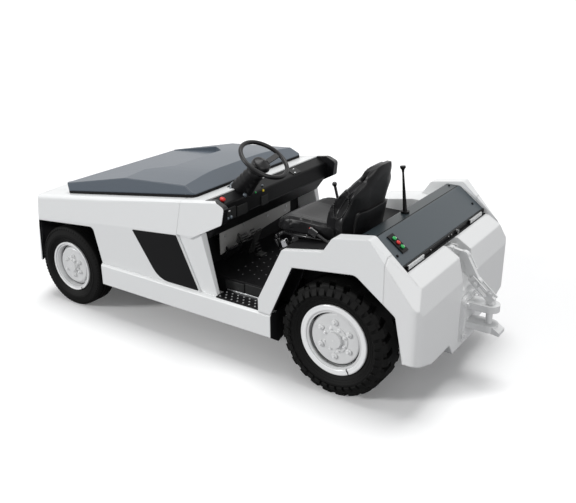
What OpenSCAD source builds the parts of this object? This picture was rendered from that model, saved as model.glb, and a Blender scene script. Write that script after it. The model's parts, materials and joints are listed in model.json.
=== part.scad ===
// Electric airport tow tractor: open driving position between two steps, battery bay under a
// tilting hood, cast tail weight with a pin hitch. Millimetres, nose towards -Y, left side
// towards +X, floor at Z = 0, origin midway along and across.

/* [Overall] */
// Distance between the axles
wheelbase = 2260; // [2200:10:2340]
// Width over the body sides
body_w = 1380; // [1350:10:1440]
// Nose tip ahead of the front axle
front_overhang = 434; // [428:2:450]
// Hitch jaw tip behind the rear axle
rear_overhang = 770; // [760:5:800]

/* [Wheels] */
// Front tyre outside diameter
front_tyre_d = 612; // [600:2:624]
// Front tyre section width
front_tyre_w = 170; // [160:2:178]
// Front rim diameter over its flanges
front_rim_d = 372; // [360:2:384]
// Rear tyre outside diameter
rear_tyre_d = 716; // [700:2:728]
// Rear tyre section width
rear_tyre_w = 205; // [195:1:212]
// Rear rim diameter over its flanges
rear_rim_d = 446; // [436:2:460]
// Gap from a tyre's outer wall to the body side
wheel_inset = 8; // [4:1:14]
// Number of tread lugs on each shoulder of a rear tyre
lug_count = 24; // [18:1:28]

/* [Front body] */
// Underside of the sills above the floor
sill_z = 258; // [250:1:266]
// Height of the sills
sill_h = 157; // [152:1:164]
// Thickness of the sills from side to side
sill_t = 75; // [68:1:82]
// Thickness of the body panels
body_wall = 26; // [22:1:30]
// Height of the sloping deck at the hood's rear edge
deck_rear_z = 1028; // [1018:1:1040]
// Rise of the deck and hood towards the rear, in degrees
deck_rise = 8.2; // [7.8:0.1:8.6]
// Rise of the belt crease and wheel arch towards the rear, in degrees
belt_rise = 5.6; // [5.2:0.1:6]
// Height of the belt crease above the front axle
belt_z = 682; // [672:1:692]
// Height of the nose's lower edge
nose_bottom_z = 283; // [275:1:295]
// How far the nose bows ahead of its corners
nose_bow = 85; // [78:1:90]

/* [Hood] */
// Length of the hood along the deck
hood_l = 1262; // [1240:2:1280]
// Body side to hood side wall
hood_inset = 83; // [78:1:90]
// Height of the hood's crown above the deck
hood_crown = 139; // [133:1:146]
// Height of the hood's side walls where it peaks
hood_side_h = 90; // [84:1:96]
// Thickness of the hood shell
hood_t = 16; // [13:1:19]

/* [Driving position] */
// Hood's rear edge ahead of the rear axle
cockpit_l = 1055; // [1045:1:1065]
// Rise of the floor above the steps
floor_rise = 95; // [88:1:102]
// Centre of the seat and steering wheel in from the body side
driver_in = 390; // [380:1:405]
// Seat cushion width
seat_w = 480; // [460:5:490]
// Height of the seat cushion's top
seat_z = 965; // [955:1:975]
// Steering wheel outside diameter
steering_wheel_d = 350; // [340:2:364]
// Rake of the steering column from upright, in degrees
column_rake = 33.5; // [32:0.5:35]

/* [Tail] */
// Rear face of the tail weight behind the rear axle
weight_back = 540; // [530:2:548]
// Underside of the tail weight
weight_bottom_z = 288; // [280:1:296]
// Height of the fenders' top corners
fender_top_z = 1038; // [1030:1:1044]
// Width of each fender
fender_w = 232; // [228:1:238]

/* [Hitch] */
// Top of the hitch's upper jaw
hitch_z = 512; // [504:1:520]
// Clear gap between the hitch jaws
jaw_gap = 84; // [78:1:90]
// Diameter of the hitch pin
hitch_pin_d = 40; // [36:1:44]

/* [Hidden] */
$fn = 64;

// Cuts run past the faces they open by this much
overrun = 40;
// Larger than the whole machine, for trimming blocks
reach = 4000;
// Running gap between parts that turn on each other
run_gap = 0.3;
// Shut line between neighbouring panels
shut_gap = 0.3;

// Main places along and across
half_w = body_w / 2;
hood_w = body_w - 2 * hood_inset;
driver_x = half_w - driver_in;
rear_axle_y = (wheelbase + front_overhang - rear_overhang) / 2;
front_axle_y = rear_axle_y - wheelbase;
nose_y = front_axle_y - front_overhang;
front_axle_z = front_tyre_d / 2;
rear_axle_z = rear_tyre_d / 2;
front_wheel_x = half_w - wheel_inset - front_tyre_w / 2;
rear_wheel_x = half_w - wheel_inset - rear_tyre_w / 2;
sill_top = sill_z + sill_h;
// Front of the tail weight behind the rear axle, and of the fender legs ahead of it
weight_front_back = 312;
leg_front_fore = 519;

// Colours
white_paint = [0.86, 0.87, 0.87];
slate_paint = [0.30, 0.35, 0.45];
black_plastic = [0.08, 0.08, 0.09];
dark_steel = [0.16, 0.16, 0.17];
bare_grey = [0.60, 0.61, 0.63];
tyre_black = [0.05, 0.05, 0.05];

// Unit vector along v
function unit(v) = v / norm(v);
// Points of the round that replaces corner b of the path a, b, c
function round_corner(a, b, c, r, steps) =
    let (u = unit(a - b), w = unit(c - b), half = acos(max(-1, min(1, u * w))) / 2)
    let (centre = b + unit(u + w) * r / sin(half))
    let (from = b + u * r / tan(half) - centre, to = b + w * r / tan(half) - centre)
    let (start = atan2(from.y, from.x), sweep = atan2(to.y, to.x) - start)
    let (turn = sweep > 180 ? sweep - 360 : sweep < -180 ? sweep + 360 : sweep)
    [for (i = [0:steps]) centre + r * [cos(start + turn * i / steps), sin(start + turn * i / steps)]];
// Outline whose corners [x, y, radius] are rounded
function rounded(corners, steps = 4) =
    let (n = len(corners))
    [for (i = [0:n - 1])
        let (a = corners[(i + n - 1) % n], b = corners[i], c = corners[(i + 1) % n])
        each b[2] > 0
            ? round_corner([a.x, a.y], [b.x, b.y], [c.x, c.y], b[2], steps)
            : [[b.x, b.y]]];
// Block between two corners
module block(low, high) translate(low) cube(high - low);
// Outline in Y and Z, drawn out along X
module prism_x(points, x0, x1) translate([x0, 0, 0]) rotate([90, 0, 90])
    linear_extrude(x1 - x0) polygon(points);
// Outline in X and Z, drawn out along Y
module prism_y(points, y0, y1) translate([0, y1, 0]) rotate([90, 0, 0])
    linear_extrude(y1 - y0) polygon(points);
// Outline in X and Y, drawn out along Z
module prism_z(points, z0, z1) translate([0, 0, z0]) linear_extrude(z1 - z0) polygon(points);
// Round bar between two points
module bar(from, to, r) {
    d = to - from;
    translate(from) rotate([0, acos(d.z / norm(d)), atan2(d.y, d.x)]) cylinder(r = r, h = norm(d));
}
// The same piece on both sides
module both_sides() {
    children();
    mirror([1, 0, 0]) children();
}

// Front body: heights of the deck and of the belt crease at a place along the body
deck_y = rear_axle_y - cockpit_l;
function deck_at(y) = deck_rear_z + (y - deck_y) * tan(deck_rise);
function belt_at(y) = belt_z + (y - front_axle_y) * tan(belt_rise);
nose_lean = 7.2;
nose_corner_r = 46;
side_low_lean = 18;
side_low_run = 320;
side_top_lean = 30;
side_top_run = 300;
deck_edge_in = 19;
deck_edge_r = 30;
nose_seam_fore = 287;
nose_foot_fore = 333;
arch_drop = 31;
arch_gap = 47;
arch_shoulder = 47;
arch_corner_r = 34;
arch_foot_back = front_tyre_d / 2 + arch_gap;
arch_top_back = arch_foot_back - arch_shoulder;
// Shut line between side panel and cowl: ahead of the rear axle at deck, belt and sill
seam_deck_fore = 1118;
seam_belt_fore = 1157;
seam_foot_fore = 1008;
seam_belt_y = rear_axle_y - seam_belt_fore;
seam_deck_y = rear_axle_y - seam_deck_fore;
seam_foot_y = rear_axle_y - seam_foot_fore;
cowl_end_fore = 760;

// Plan of the front body, drawn in by d: a bowed nose between two straight sides
nose_steps = 12;
function nose_plan(d) =
    let (w = half_w - d, bow_r = (half_w * half_w + nose_bow * nose_bow) / (2 * nose_bow))
    let (r = bow_r - d, edge = asin(w / r), corner_y = r * (1 - cos(edge)) + d)
    rounded(concat(
        [[w, reach, 0], [-w, reach, 0], [-w, corner_y, nose_corner_r - d]],
        [for (i = [1:nose_steps - 1])
            let (a = -edge + 2 * edge * i / nose_steps) [r * sin(a), r * (1 - cos(a)) + d, 0]],
        [[w, corner_y, nose_corner_r - d]]));
// Solid form of the front body, drawn in by d
module front_form(d) {
    intersection() {
        translate([0, nose_y, nose_bottom_z]) rotate([-nose_lean, 0, 0])
            prism_z(nose_plan(d), -reach, reach);
        translate([0, front_axle_y, belt_z]) rotate([belt_rise, 0, 0])
            prism_y([
                [half_w - d - side_low_lean * reach / side_low_run, -reach],
                [half_w - d, 0],
                [half_w - d - side_top_lean, side_top_run],
                [-half_w + d + side_top_lean, side_top_run],
                [-half_w + d, 0],
                [-half_w + d + side_low_lean * reach / side_low_run, -reach]], -reach, reach);
        translate([0, deck_y, deck_rear_z]) rotate([deck_rise, 0, 0])
            prism_y(rounded([
                [half_w - deck_edge_in - d + side_top_lean, -side_top_run, 0],
                [half_w - deck_edge_in - d, -d, deck_edge_r - d],
                [-half_w + deck_edge_in + d, -d, deck_edge_r - d],
                [-half_w + deck_edge_in + d - side_top_lean, -side_top_run, 0],
                [-half_w + deck_edge_in + d - side_top_lean, -reach, 0],
                [half_w - deck_edge_in - d + side_top_lean, -reach, 0]]), -reach, reach);
    }
}
// Opening in the deck that the hood covers
hood_lip = 22;
module deck_opening() {
    w = hood_w / 2 - hood_lip;
    translate([0, deck_y, deck_rear_z]) rotate([deck_rise, 0, 0])
        prism_z([[w, -hood_l + hood_lip], [w, overrun], [-w, overrun], [-w, -hood_l + hood_lip]],
            -body_wall - overrun, overrun);
}
// Nose: bumper, front corners and the deck ahead of the hood, on two pads that meet the frame
frame_front_fore = 345;
frame_front_y = front_axle_y - frame_front_fore;
rail_in = 405;
rail_x = half_w - rail_in;
rail_w = 70;
rail_front_z = 420;
rail_h = 96;
nose_pad_h = 70;
nose_wall = 14;
lamp_in = 235;
lamp_x = half_w - lamp_in;
lamp_w = 210;
lamp_h = 84;
lamp_z = 600;
lamp_deep = 18;
deck_split_in = 170;
deck_split = half_w - deck_split_in;
module nose_region() {
    prism_x([
        [nose_y - overrun, nose_bottom_z],
        [front_axle_y - nose_foot_fore, nose_bottom_z],
        [front_axle_y - nose_seam_fore, belt_at(front_axle_y) - 2 * arch_drop],
        [front_axle_y - nose_seam_fore, reach],
        [nose_y - overrun, reach]], -reach, reach);
}
module nose_panel() {
    color(white_paint) difference() {
        union() {
            intersection() {
                difference() {
                    front_form(0);
                    front_form(nose_wall);
                }
                union() {
                    nose_region();
                    block([-deck_split + shut_gap, nose_y, belt_z], [deck_split - shut_gap, deck_y, reach]);
                }
            }
            on_deck() both_sides() hinge_posts();
            intersection() {
                both_sides() block(
                    [rail_x - rail_w / 2, nose_y, rail_front_z],
                    [rail_x + rail_w / 2, frame_front_y, rail_front_z + nose_pad_h]);
                front_form(nose_wall / 2);
            }
        }
        deck_opening();
        both_sides() block(
            [lamp_x - lamp_w / 2, nose_y - overrun, lamp_z - lamp_h / 2],
            [lamp_x + lamp_w / 2, front_axle_y - nose_seam_fore, lamp_z + lamp_h / 2]);
    }
}
// Two plain rectangular headlamps in the nose
module headlamps() {
    color([0.9, 0.92, 0.95]) intersection() {
        difference() {
            front_form(lamp_deep / 4);
            front_form(lamp_deep / 4 + lamp_deep);
        }
        both_sides() block(
            [lamp_x - lamp_w / 2, nose_y - overrun, lamp_z - lamp_h / 2],
            [lamp_x + lamp_w / 2, front_axle_y - nose_seam_fore, lamp_z + lamp_h / 2]);
    }
}
// Side panels of the battery bay, arched over the front wheels
module front_arch() {
    top = belt_at(front_axle_y) - arch_drop;
    y0 = front_axle_y - nose_y;
    prism_x(rounded([
        [nose_y - overrun, 0, 0],
        [front_axle_y + arch_foot_back, 0, 0],
        [front_axle_y + arch_foot_back, sill_top, 0],
        [front_axle_y + arch_top_back, top + arch_top_back * tan(belt_rise), arch_corner_r],
        [nose_y - overrun, top - (y0 + overrun) * tan(belt_rise), 0]]), -reach, reach);
}
module side_region() {
    prism_x([
        [front_axle_y - nose_seam_fore + shut_gap, sill_top],
        [seam_foot_y, sill_top],
        [seam_belt_y, belt_at(seam_belt_y)],
        [seam_deck_y, deck_at(seam_deck_y) + overrun],
        [front_axle_y - nose_seam_fore + shut_gap, deck_at(seam_deck_y) + overrun]], -reach, reach);
}
module side_panels() {
    color(white_paint) difference() {
        intersection() {
            difference() {
                front_form(0);
                front_form(body_wall);
            }
            side_region();
        }
        front_arch();
        deck_opening();
        block([-deck_split, -reach, 0], [deck_split, reach, reach]);
    }
}
// Black inlays that lie on the lower side panels
inlay_t = 2;
inlay_edge = 6;
inlay_l = 402;
inlay_foot_l = 354;
inlay_r = 150;
inlay_drop = 8;
module side_inlays() {
    color(black_plastic) difference() {
        intersection() {
            difference() {
                front_form(-inlay_t);
                front_form(0);
            }
            prism_x(rounded([
                [seam_foot_y - inlay_foot_l, sill_top + inlay_edge, inlay_r],
                [seam_foot_y - inlay_edge, sill_top + inlay_edge, inlay_edge],
                [seam_belt_y - inlay_edge, belt_at(seam_belt_y) - inlay_drop, inlay_edge],
                [seam_belt_y - inlay_l, belt_at(seam_belt_y - inlay_l) - inlay_drop, inlay_edge]]),
                -reach, reach);
        }
        block([-deck_split, -reach, 0], [deck_split, reach, reach]);
    }
}
// Sills along both sides, with a chamfered top edge and a lip turned in below
sill_chamfer = 14;
sill_lip_in = 56;
sill_lip_drop = 38;
sill_end_fore = 430;
sill_y0 = front_axle_y + arch_foot_back;
sill_y1 = rear_axle_y - sill_end_fore;
module sills() {
    color(white_paint) both_sides() prism_y([
        [half_w - sill_t, sill_z - sill_lip_drop],
        [half_w - sill_lip_in, sill_z - sill_lip_drop],
        [half_w, sill_z],
        [half_w, sill_top - sill_chamfer],
        [half_w - sill_chamfer, sill_top],
        [half_w - sill_t, sill_top]], sill_y0, sill_y1);
}
// Dark plates across the rear ends of the sills, ahead of the rear wheels
mud_t = 6;
mud_in = 154;
mud_drop = 54;
module mud_plates() {
    y = sill_y1 + shut_gap;
    color(black_plastic) both_sides() prism_y([
        [half_w - mud_in, sill_z - mud_drop / 2],
        [half_w - mud_in / 2, sill_z - mud_drop],
        [half_w, sill_z],
        [half_w, sill_top - sill_chamfer],
        [half_w - sill_chamfer, sill_top],
        [half_w - mud_in, sill_top]], y, y + mud_t);
}
// Cowl panels: cheeks beside the dashboard on slim pillars down to the sills
cowl_wall = 44;
pillar_in = 14;
cheek_top_fore = 871;
cheek_tip_fore = 773;
cheek_tip_drop = 46;
cheek_low_fore = 788;
cheek_low_drop = 150;
cheek_heel_fore = 1045;
cheek_heel_up = 366;
cheek_r = 22;
pillar_top_fore = 960;
pillar_foot_fore = 868;
module cheek_outline(x0, x1) {
    tip_z = deck_at(rear_axle_y - cheek_tip_fore);
    prism_x(rounded([
        [seam_belt_y + shut_gap, belt_at(seam_belt_y), 0],
        [rear_axle_y - cheek_heel_fore, sill_top + cheek_heel_up, 0],
        [rear_axle_y - cheek_low_fore, tip_z - cheek_low_drop, cheek_r],
        [rear_axle_y - cheek_tip_fore, tip_z - cheek_tip_drop, cheek_r],
        [rear_axle_y - cheek_top_fore, deck_at(rear_axle_y - cheek_top_fore) + overrun / 4, cheek_r],
        [seam_deck_y + shut_gap, deck_at(seam_deck_y) + overrun, 0]]), x0, x1);
}
module cowl_panels() {
    color(white_paint) both_sides() difference() {
        union() {
            intersection() {
                front_form(0);
                cheek_outline(half_w - deck_edge_in - 2 * cowl_wall, half_w);
            }
            intersection() {
                front_form(pillar_in);
                prism_x([
                    [seam_foot_y + shut_gap, sill_top],
                    [rear_axle_y - pillar_foot_fore, sill_top],
                    [rear_axle_y - pillar_top_fore, sill_top + cheek_heel_up + overrun],
                    [seam_belt_y + overrun, belt_at(seam_belt_y) + overrun],
                    [seam_belt_y + shut_gap, belt_at(seam_belt_y)]],
                    half_w - deck_edge_in - cowl_wall, half_w);
            }
        }
        deck_opening();
        block([0, -reach, 0], [cab_half, reach, reach]);
    }
}
// Half the clear width between the cowl panels
cab_half = half_w - deck_edge_in - cowl_wall;
// White strip across the cowl, between hood and dashboard
strip_t = 20;
strip_front_fore = 1112;
strip_back_fore = 930;
strip_y0 = rear_axle_y - strip_front_fore;
strip_y1 = rear_axle_y - strip_back_fore;
module cowl_top() {
    color(white_paint) difference() {
        prism_x([
            [strip_y0, deck_at(strip_y0) - strip_t],
            [strip_y1, deck_at(strip_y1) - strip_t],
            [strip_y1, deck_at(strip_y1)],
            [strip_y0, deck_at(strip_y0)]], -cab_half, cab_half);
        column_hole();
    }
}
// Wall between battery bay and footwell
bulkhead_t = 20;
bulkhead_half = half_w - sill_t - shut_gap;
bulkhead_y = strip_y0 + bulkhead_t;
floor_t = 12;
floor_z = sill_top + floor_rise;
module bulkhead() {
    color(dark_steel) prism_x([
        [strip_y0, rail_low_top],
        [bulkhead_y, rail_low_top],
        [bulkhead_y, deck_at(strip_y0) - strip_t - shut_gap],
        [strip_y0, deck_at(strip_y0) - strip_t - shut_gap]], -bulkhead_half, bulkhead_half);
}

// Hood: shell over the battery bay that tilts forward on two hinge barrels
hood_gap = 0.5;
seal_h = 18;
seal_w = 26;
hinge_r = 15;
hinge_pin_r = 7;
hinge_fore = 20;
hinge_up = 20;
hinge_x = 260;
hinge_w = 46;
hood_corner_r = 70;
hood_nose_h = 72;
hood_tail_h = 74;
hood_tail_run = 80;
hood_peak_fore = 630;
hood_flat_half = 300;
hood_crown_r = 2600;
hood_drop = 24;
hood_side_lean = 17;
pocket_rear_fore = 478;
pocket_rear_half = 260;
pocket_mid_fore = 640;
pocket_mid_half = 390;
pocket_front_half = 575;
pocket_floor_h = 100;
hinge_post_t = 14;
module hinge_posts() {
    y = -hood_l - hinge_fore;
    for (side = [-1, 1])
        translate([hinge_x + side * (hinge_w / 2 + shut_gap + hinge_post_t / 2), y, 0])
            union() {
                block([-hinge_post_t / 2, -hinge_r, -nose_wall / 2], [hinge_post_t / 2, hinge_r, hinge_up]);
                translate([-hinge_post_t / 2, 0, hinge_up]) rotate([0, 90, 0])
                    cylinder(r = hinge_r, h = hinge_post_t);
            }
    translate([hinge_x - hinge_w / 2 - hinge_post_t, y, hinge_up]) rotate([0, 90, 0])
        cylinder(r = hinge_pin_r, h = hinge_w + 2 * hinge_post_t);
}
module on_deck() translate([0, deck_y, deck_rear_z]) rotate([deck_rise, 0, 0]) children();
function hood_plan(d) = rounded([
    [hood_w / 2 - d, -hood_l + d, hood_corner_r - d],
    [hood_w / 2 - d, -d, hood_corner_r / 2 - d / 2],
    [-hood_w / 2 + d, -d, hood_corner_r / 2 - d / 2],
    [-hood_w / 2 + d, -hood_l + d, hood_corner_r - d]], 5);
// Crowned roof sloping down from the peak, by pitch degrees towards the rear
module hood_roof(d, pitch) {
    drop = hood_drop * (hood_w - hood_flat_half) / (hood_w / 2 - hood_flat_half);
    translate([0, -hood_peak_fore, hood_crown - d]) rotate([-pitch, 0, 0]) prism_y(rounded([
        [-hood_w, -reach, 0], [hood_w, -reach, 0], [hood_w, -drop, 0],
        [hood_flat_half, 0, hood_crown_r], [-hood_flat_half, 0, hood_crown_r],
        [-hood_w, -drop, 0]], 3), -reach, reach);
}
// Shallow pocket in the roof, running out at the front edge
module hood_pocket(d) {
    floor_slope = (pocket_floor_h - hood_nose_h) / (hood_l - pocket_rear_fore);
    intersection() {
        prism_z([
            [pocket_rear_half + d, -pocket_rear_fore + d], [-pocket_rear_half - d, -pocket_rear_fore + d],
            [-pocket_mid_half - d, -pocket_mid_fore], [-pocket_front_half - d, -hood_l - overrun],
            [pocket_front_half + d, -hood_l - overrun], [pocket_mid_half + d, -pocket_mid_fore]],
            0, 2 * hood_crown);
        prism_x([
            [-hood_l - overrun, hood_nose_h - overrun * floor_slope - d],
            [0, hood_nose_h + hood_l * floor_slope - d],
            [0, 2 * hood_crown], [-hood_l - overrun, 2 * hood_crown]], -hood_w, hood_w);
    }
}
module hood_form(d) {
    edge_h = hood_crown - hood_drop;
    tail_slope = (hood_tail_h - seal_h) / hood_tail_run;
    difference() {
        intersection() {
            prism_z(hood_plan(d), seal_h - (d > 0 ? overrun : 0), 2 * hood_crown);
            hood_roof(d, atan2(edge_h - hood_tail_h, hood_peak_fore - hood_tail_run));
            hood_roof(d, -atan2(edge_h - hood_nose_h, hood_l - hood_peak_fore));
            prism_x([
                [-hood_l - overrun, -overrun],
                [overrun, -overrun],
                [overrun, seal_h - d - overrun * tail_slope],
                [-hood_l - overrun, seal_h - d + (hood_l + overrun) * tail_slope]], -hood_w, hood_w);
            prism_y([
                [hood_w / 2 - d, 0],
                [hood_w / 2 - d - 2 * hood_side_lean, 2 * hood_side_h],
                [-hood_w / 2 + d + 2 * hood_side_lean, 2 * hood_side_h],
                [-hood_w / 2 + d, 0],
                [-hood_w / 2 + d, -overrun],
                [hood_w / 2 - d, -overrun]], -hood_l - overrun, overrun);
        }
        hood_pocket(d);
    }
}
module hood() {
    color(slate_paint) on_deck() difference() {
        union() {
            difference() {
                hood_form(0);
                hood_form(hood_t);
            }
            both_sides() translate([hinge_x - hinge_w / 2, -hood_l - hinge_fore, 0]) {
                translate([0, 0, hinge_up]) rotate([0, 90, 0]) cylinder(r = hinge_r, h = hinge_w);
                block([0, 0, seal_h], [hinge_w, hinge_fore + hood_t, hinge_up + hinge_r]);
            }
        }
        both_sides() translate([hinge_x - hinge_w, -hood_l - hinge_fore, hinge_up]) rotate([0, 90, 0])
            cylinder(r = hinge_pin_r + run_gap, h = 2 * hinge_w);
    }
}
// Black rubber seal round the hood's lower edge
module hood_seal() {
    color(black_plastic) on_deck() difference() {
        prism_z(hood_plan(0), hood_gap, seal_h);
        prism_z(hood_plan(seal_w), -overrun, seal_h + overrun);
    }
}

// Frame: two rails that rise over both axles, with cross members out to the sills
rail_low_z = 275;
rail_low_top = 400;
rail_rear_up = 142;
rail_rear_z = rear_axle_z + rail_rear_up;
rail_kick = 60;
rail_rear_fore = 330;
front_kick_back = 372;
outrigger_w = 90;
outrigger_h = 84;
outrigger_in = 30;
rail_y1 = rear_axle_y + weight_front_back;
outrigger_ys = [
    sill_y0 + outrigger_in + outrigger_w / 2,
    (sill_y0 + sill_y1) / 2,
    sill_y1 - outrigger_in - outrigger_w / 2
];
module frame() {
    kick_y = front_axle_y + front_kick_back;
    rise_y = rear_axle_y - rail_rear_fore;
    color(dark_steel) union() {
        both_sides() prism_x([
            [frame_front_y, rail_front_z],
            [kick_y, rail_front_z],
            [kick_y + rail_kick, rail_low_z],
            [rise_y - rail_kick, rail_low_z],
            [rise_y, rail_rear_z],
            [rail_y1, rail_rear_z],
            [rail_y1, rail_rear_z + rail_h],
            [rise_y - rail_kick, rail_rear_z + rail_h],
            [rise_y - 2 * rail_kick, rail_low_top],
            [kick_y + 2 * rail_kick, rail_low_top],
            [kick_y + rail_kick, rail_front_z + rail_h],
            [frame_front_y, rail_front_z + rail_h]], rail_x - rail_w / 2, rail_x + rail_w / 2);
        block([-rail_x - rail_w / 2, frame_front_y, rail_front_z],
            [rail_x + rail_w / 2, frame_front_y + outrigger_w / 2, rail_front_z + nose_pad_h]);
        for (y = outrigger_ys)
            block([-half_w + sill_t, y - outrigger_w / 2, rail_low_top - outrigger_h],
                [half_w - sill_t, y + outrigger_w / 2, rail_low_top]);
    }
}
// Traction battery, a plain steel trough on the rails
battery_front_back = 400;
battery_back_gap = 24;
battery_side_gap = 150;
battery_w = body_w - 2 * battery_side_gap;
battery_top_drop = 40;
battery_r = 12;
module battery() {
    y0 = front_axle_y + battery_front_back + 2 * rail_kick;
    y1 = strip_y0 - battery_back_gap;
    color([0.20, 0.21, 0.22]) prism_x(rounded([
        [y0, rail_low_top, 0],
        [y1, rail_low_top, 0],
        [y1, deck_at(y1) - battery_top_drop, battery_r],
        [y0, deck_at(y0) - battery_top_drop, battery_r]]), -battery_w / 2, battery_w / 2);
}
// Drive motor ahead of the rear axle
motor_r = 125;
motor_l = 230;
diff_r = 165;
motor_fore = 172;
module drive_motor() {
    color(dark_steel) translate([0, rear_axle_y - motor_fore, rear_axle_z]) rotate([90, 0, 0]) {
        cylinder(r = motor_r, h = motor_l);
        for (i = [1:3])
            translate([0, 0, motor_l * i / 4]) cylinder(r = motor_r + motor_r / 16, h = motor_l / 24);
    }
}
// Front axle: forged beam with an eye at each end for the kingpin
kingpin_in = 107;
kingpin_x = front_wheel_x - kingpin_in;
kingpin_r = 16;
eye_r = 36;
eye_h = 70;
beam_h = 64;
beam_w = 62;
beam_web = 20;
module front_axle() {
    color(dark_steel) translate([0, front_axle_y, front_axle_z]) difference() {
        union() {
            block([-kingpin_x + eye_r / 2, -beam_w / 2, -beam_h / 2],
                [kingpin_x - eye_r / 2, beam_w / 2, beam_h / 2]);
            both_sides() translate([kingpin_x, 0, -eye_h / 2]) cylinder(r = eye_r, h = eye_h);
        }
        for (s = [0, 180]) rotate([0, 0, s])
            block([-rail_x + spring_w, beam_web / 2, -beam_h / 4], [rail_x - spring_w, beam_w, beam_h / 4]);
        both_sides() translate([kingpin_x, 0, -eye_h])
            cylinder(r = kingpin_r + run_gap, h = 2 * eye_h);
    }
}
// Leaf springs: arched packs that hang from the rails on brackets
spring_w = 62;
leaf_t = 11;
leaf_count = 3;
bracket_w = 70;
spring_half = 300;
leaf_step = 76;
spring_sag = 26;
// Outline of a stepped pack, longest leaf on top, all leaves on one curve
function leaf_end(i) = spring_half - leaf_step * (leaf_count - 1 - i);
function leaf_point(r, y, lift) = [y, lift + r - sqrt(r * r - y * y)];
function pack_outline() =
    let (r = (spring_half * spring_half + spring_sag * spring_sag) / (2 * spring_sag))
    concat(
        [for (i = [-2:2]) leaf_point(r, leaf_end(0) * i / 2, 0)],
        [for (i = [1:leaf_count - 1])
            each [leaf_point(r, leaf_end(i - 1), leaf_t * i), leaf_point(r, leaf_end(i), leaf_t * i)]],
        [for (i = [4:-1:-4]) leaf_point(r, spring_half * i / 4, leaf_t * leaf_count)],
        [for (i = [leaf_count - 1:-1:1])
            each [leaf_point(r, -leaf_end(i), leaf_t * i), leaf_point(r, -leaf_end(i - 1), leaf_t * i)]]);
module spring_pack(y, seat_z, rail_z) {
    leaf_top = seat_z + leaf_t * (leaf_count - 1) + spring_sag / 2;
    both_sides() translate([0, y, 0]) {
        translate([0, 0, seat_z]) prism_x(pack_outline(), rail_x - spring_w / 2, rail_x + spring_w / 2);
        for (s = [-1, 1])
            translate([0, s * (spring_half - 2 * leaf_t), 0])
                block([rail_x - bracket_w / 2, -leaf_t, leaf_top],
                    [rail_x + bracket_w / 2, leaf_t, rail_z]);
    }
}
module front_springs() {
    color(dark_steel) spring_pack(front_axle_y, front_axle_z + beam_h / 2, rail_front_z);
}
// Rear axle: housing with a round centre and a stub for each wheel
axle_tube_r = 56;
stub_r = 34;
drum_r = 140;
drum_w = 70;
hub_plane = 36;
// Half-section of the housing, as [radius, along]
function housing(drum_x, stub_x) = rounded([
    [0, -stub_x, 0], [stub_r, -stub_x, 0], [stub_r, -drum_x - drum_w / 2, 0],
    [drum_r, -drum_x - drum_w / 2, 0], [drum_r, -drum_x + drum_w / 2, 0],
    [axle_tube_r, -drum_x + drum_w / 2, 0], [axle_tube_r, -diff_r, diff_r / 6],
    [diff_r, -diff_r * diff_flat_share, diff_r / 2], [diff_r, diff_r * diff_flat_share, diff_r / 2],
    [axle_tube_r, diff_r, diff_r / 6], [axle_tube_r, drum_x - drum_w / 2, 0],
    [drum_r, drum_x - drum_w / 2, 0], [drum_r, drum_x + drum_w / 2, 0],
    [stub_r, drum_x + drum_w / 2, 0], [stub_r, stub_x, 0], [0, stub_x, 0]], 3);
module rear_axle() {
    drum_x = rear_wheel_x - rear_tyre_w / 2 - drum_w / 2 - shut_gap;
    color(dark_steel) translate([0, rear_axle_y, rear_axle_z]) union() {
        rotate([0, 90, 0]) rotate_extrude() polygon(housing(drum_x, rear_wheel_x + hub_plane));
        rotate([90, 0, 0]) cylinder(r = neck_r, h = motor_fore);
        both_sides() block([rail_x - spring_w / 2, -spring_w / 2, 0],
            [rail_x + spring_w / 2, spring_w / 2, axle_pad_z]);
    }
}
diff_flat_share = 0.45;
neck_r = 104;
axle_pad_z = 66;
module rear_springs() {
    color(dark_steel) spring_pack(rear_axle_y, rear_axle_z + axle_pad_z, rail_rear_z);
}
// Floor of the driving position: raised plate with risers down to the cross members
floor_in = 134;
floor_half = half_w - floor_in;
seat_deck_fore = 440;
floor_y1 = rear_axle_y - seat_deck_fore;
leg_y = rear_axle_y - leg_front_fore;
module floor_pan() {
    color(black_plastic) union() {
        block([-floor_half, bulkhead_y, floor_z - floor_t], [floor_half, leg_y - shut_gap, floor_z]);
        block([-seat_deck_half, bulkhead_y, floor_z - floor_t], [seat_deck_half, floor_y1, floor_z]);
        both_sides() block([floor_half - floor_t, bulkhead_y, rail_low_top],
            [floor_half, leg_y - shut_gap, floor_z]);
    }
}
// Black step plates on the sills
step_t = 10;
step_front_fore = 862;
step_back_fore = 528;
module step_plates() {
    color(black_plastic) both_sides() block(
        [floor_half, rear_axle_y - step_front_fore, sill_top],
        [half_w - sill_chamfer, rear_axle_y - step_back_fore, sill_top + step_t]);
}
// Dashboard: moulded beam between the cheeks, under the cowl strip
dash_back_fore = 852;
dash_low_up = 276;
dash_low_fore = 935;
dash_low_y = rear_axle_y - dash_low_fore;
dash_face_h = 108;
dash_crown_drop = 50;
dash_r = 14;
module dashboard() {
    back = rear_axle_y - dash_back_fore;
    face_top = deck_at(back) - dash_crown_drop;
    color(black_plastic) difference() {
        prism_x(rounded([
            [bulkhead_y, floor_z + dash_low_up + dash_face_h / 2, 0],
            [dash_low_y, floor_z + dash_low_up, dash_r],
            [back, face_top - dash_face_h, dash_r],
            [back, face_top, dash_r],
            [strip_y1 + shut_gap, deck_at(strip_y1) - dash_r / 2, 0],
            [strip_y1 + shut_gap, deck_at(strip_y1) - strip_t - shut_gap, 0],
            [bulkhead_y, deck_at(bulkhead_y) - strip_t - shut_gap, 0]]), -cab_half, cab_half);
        column_hole();
    }
}
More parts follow.
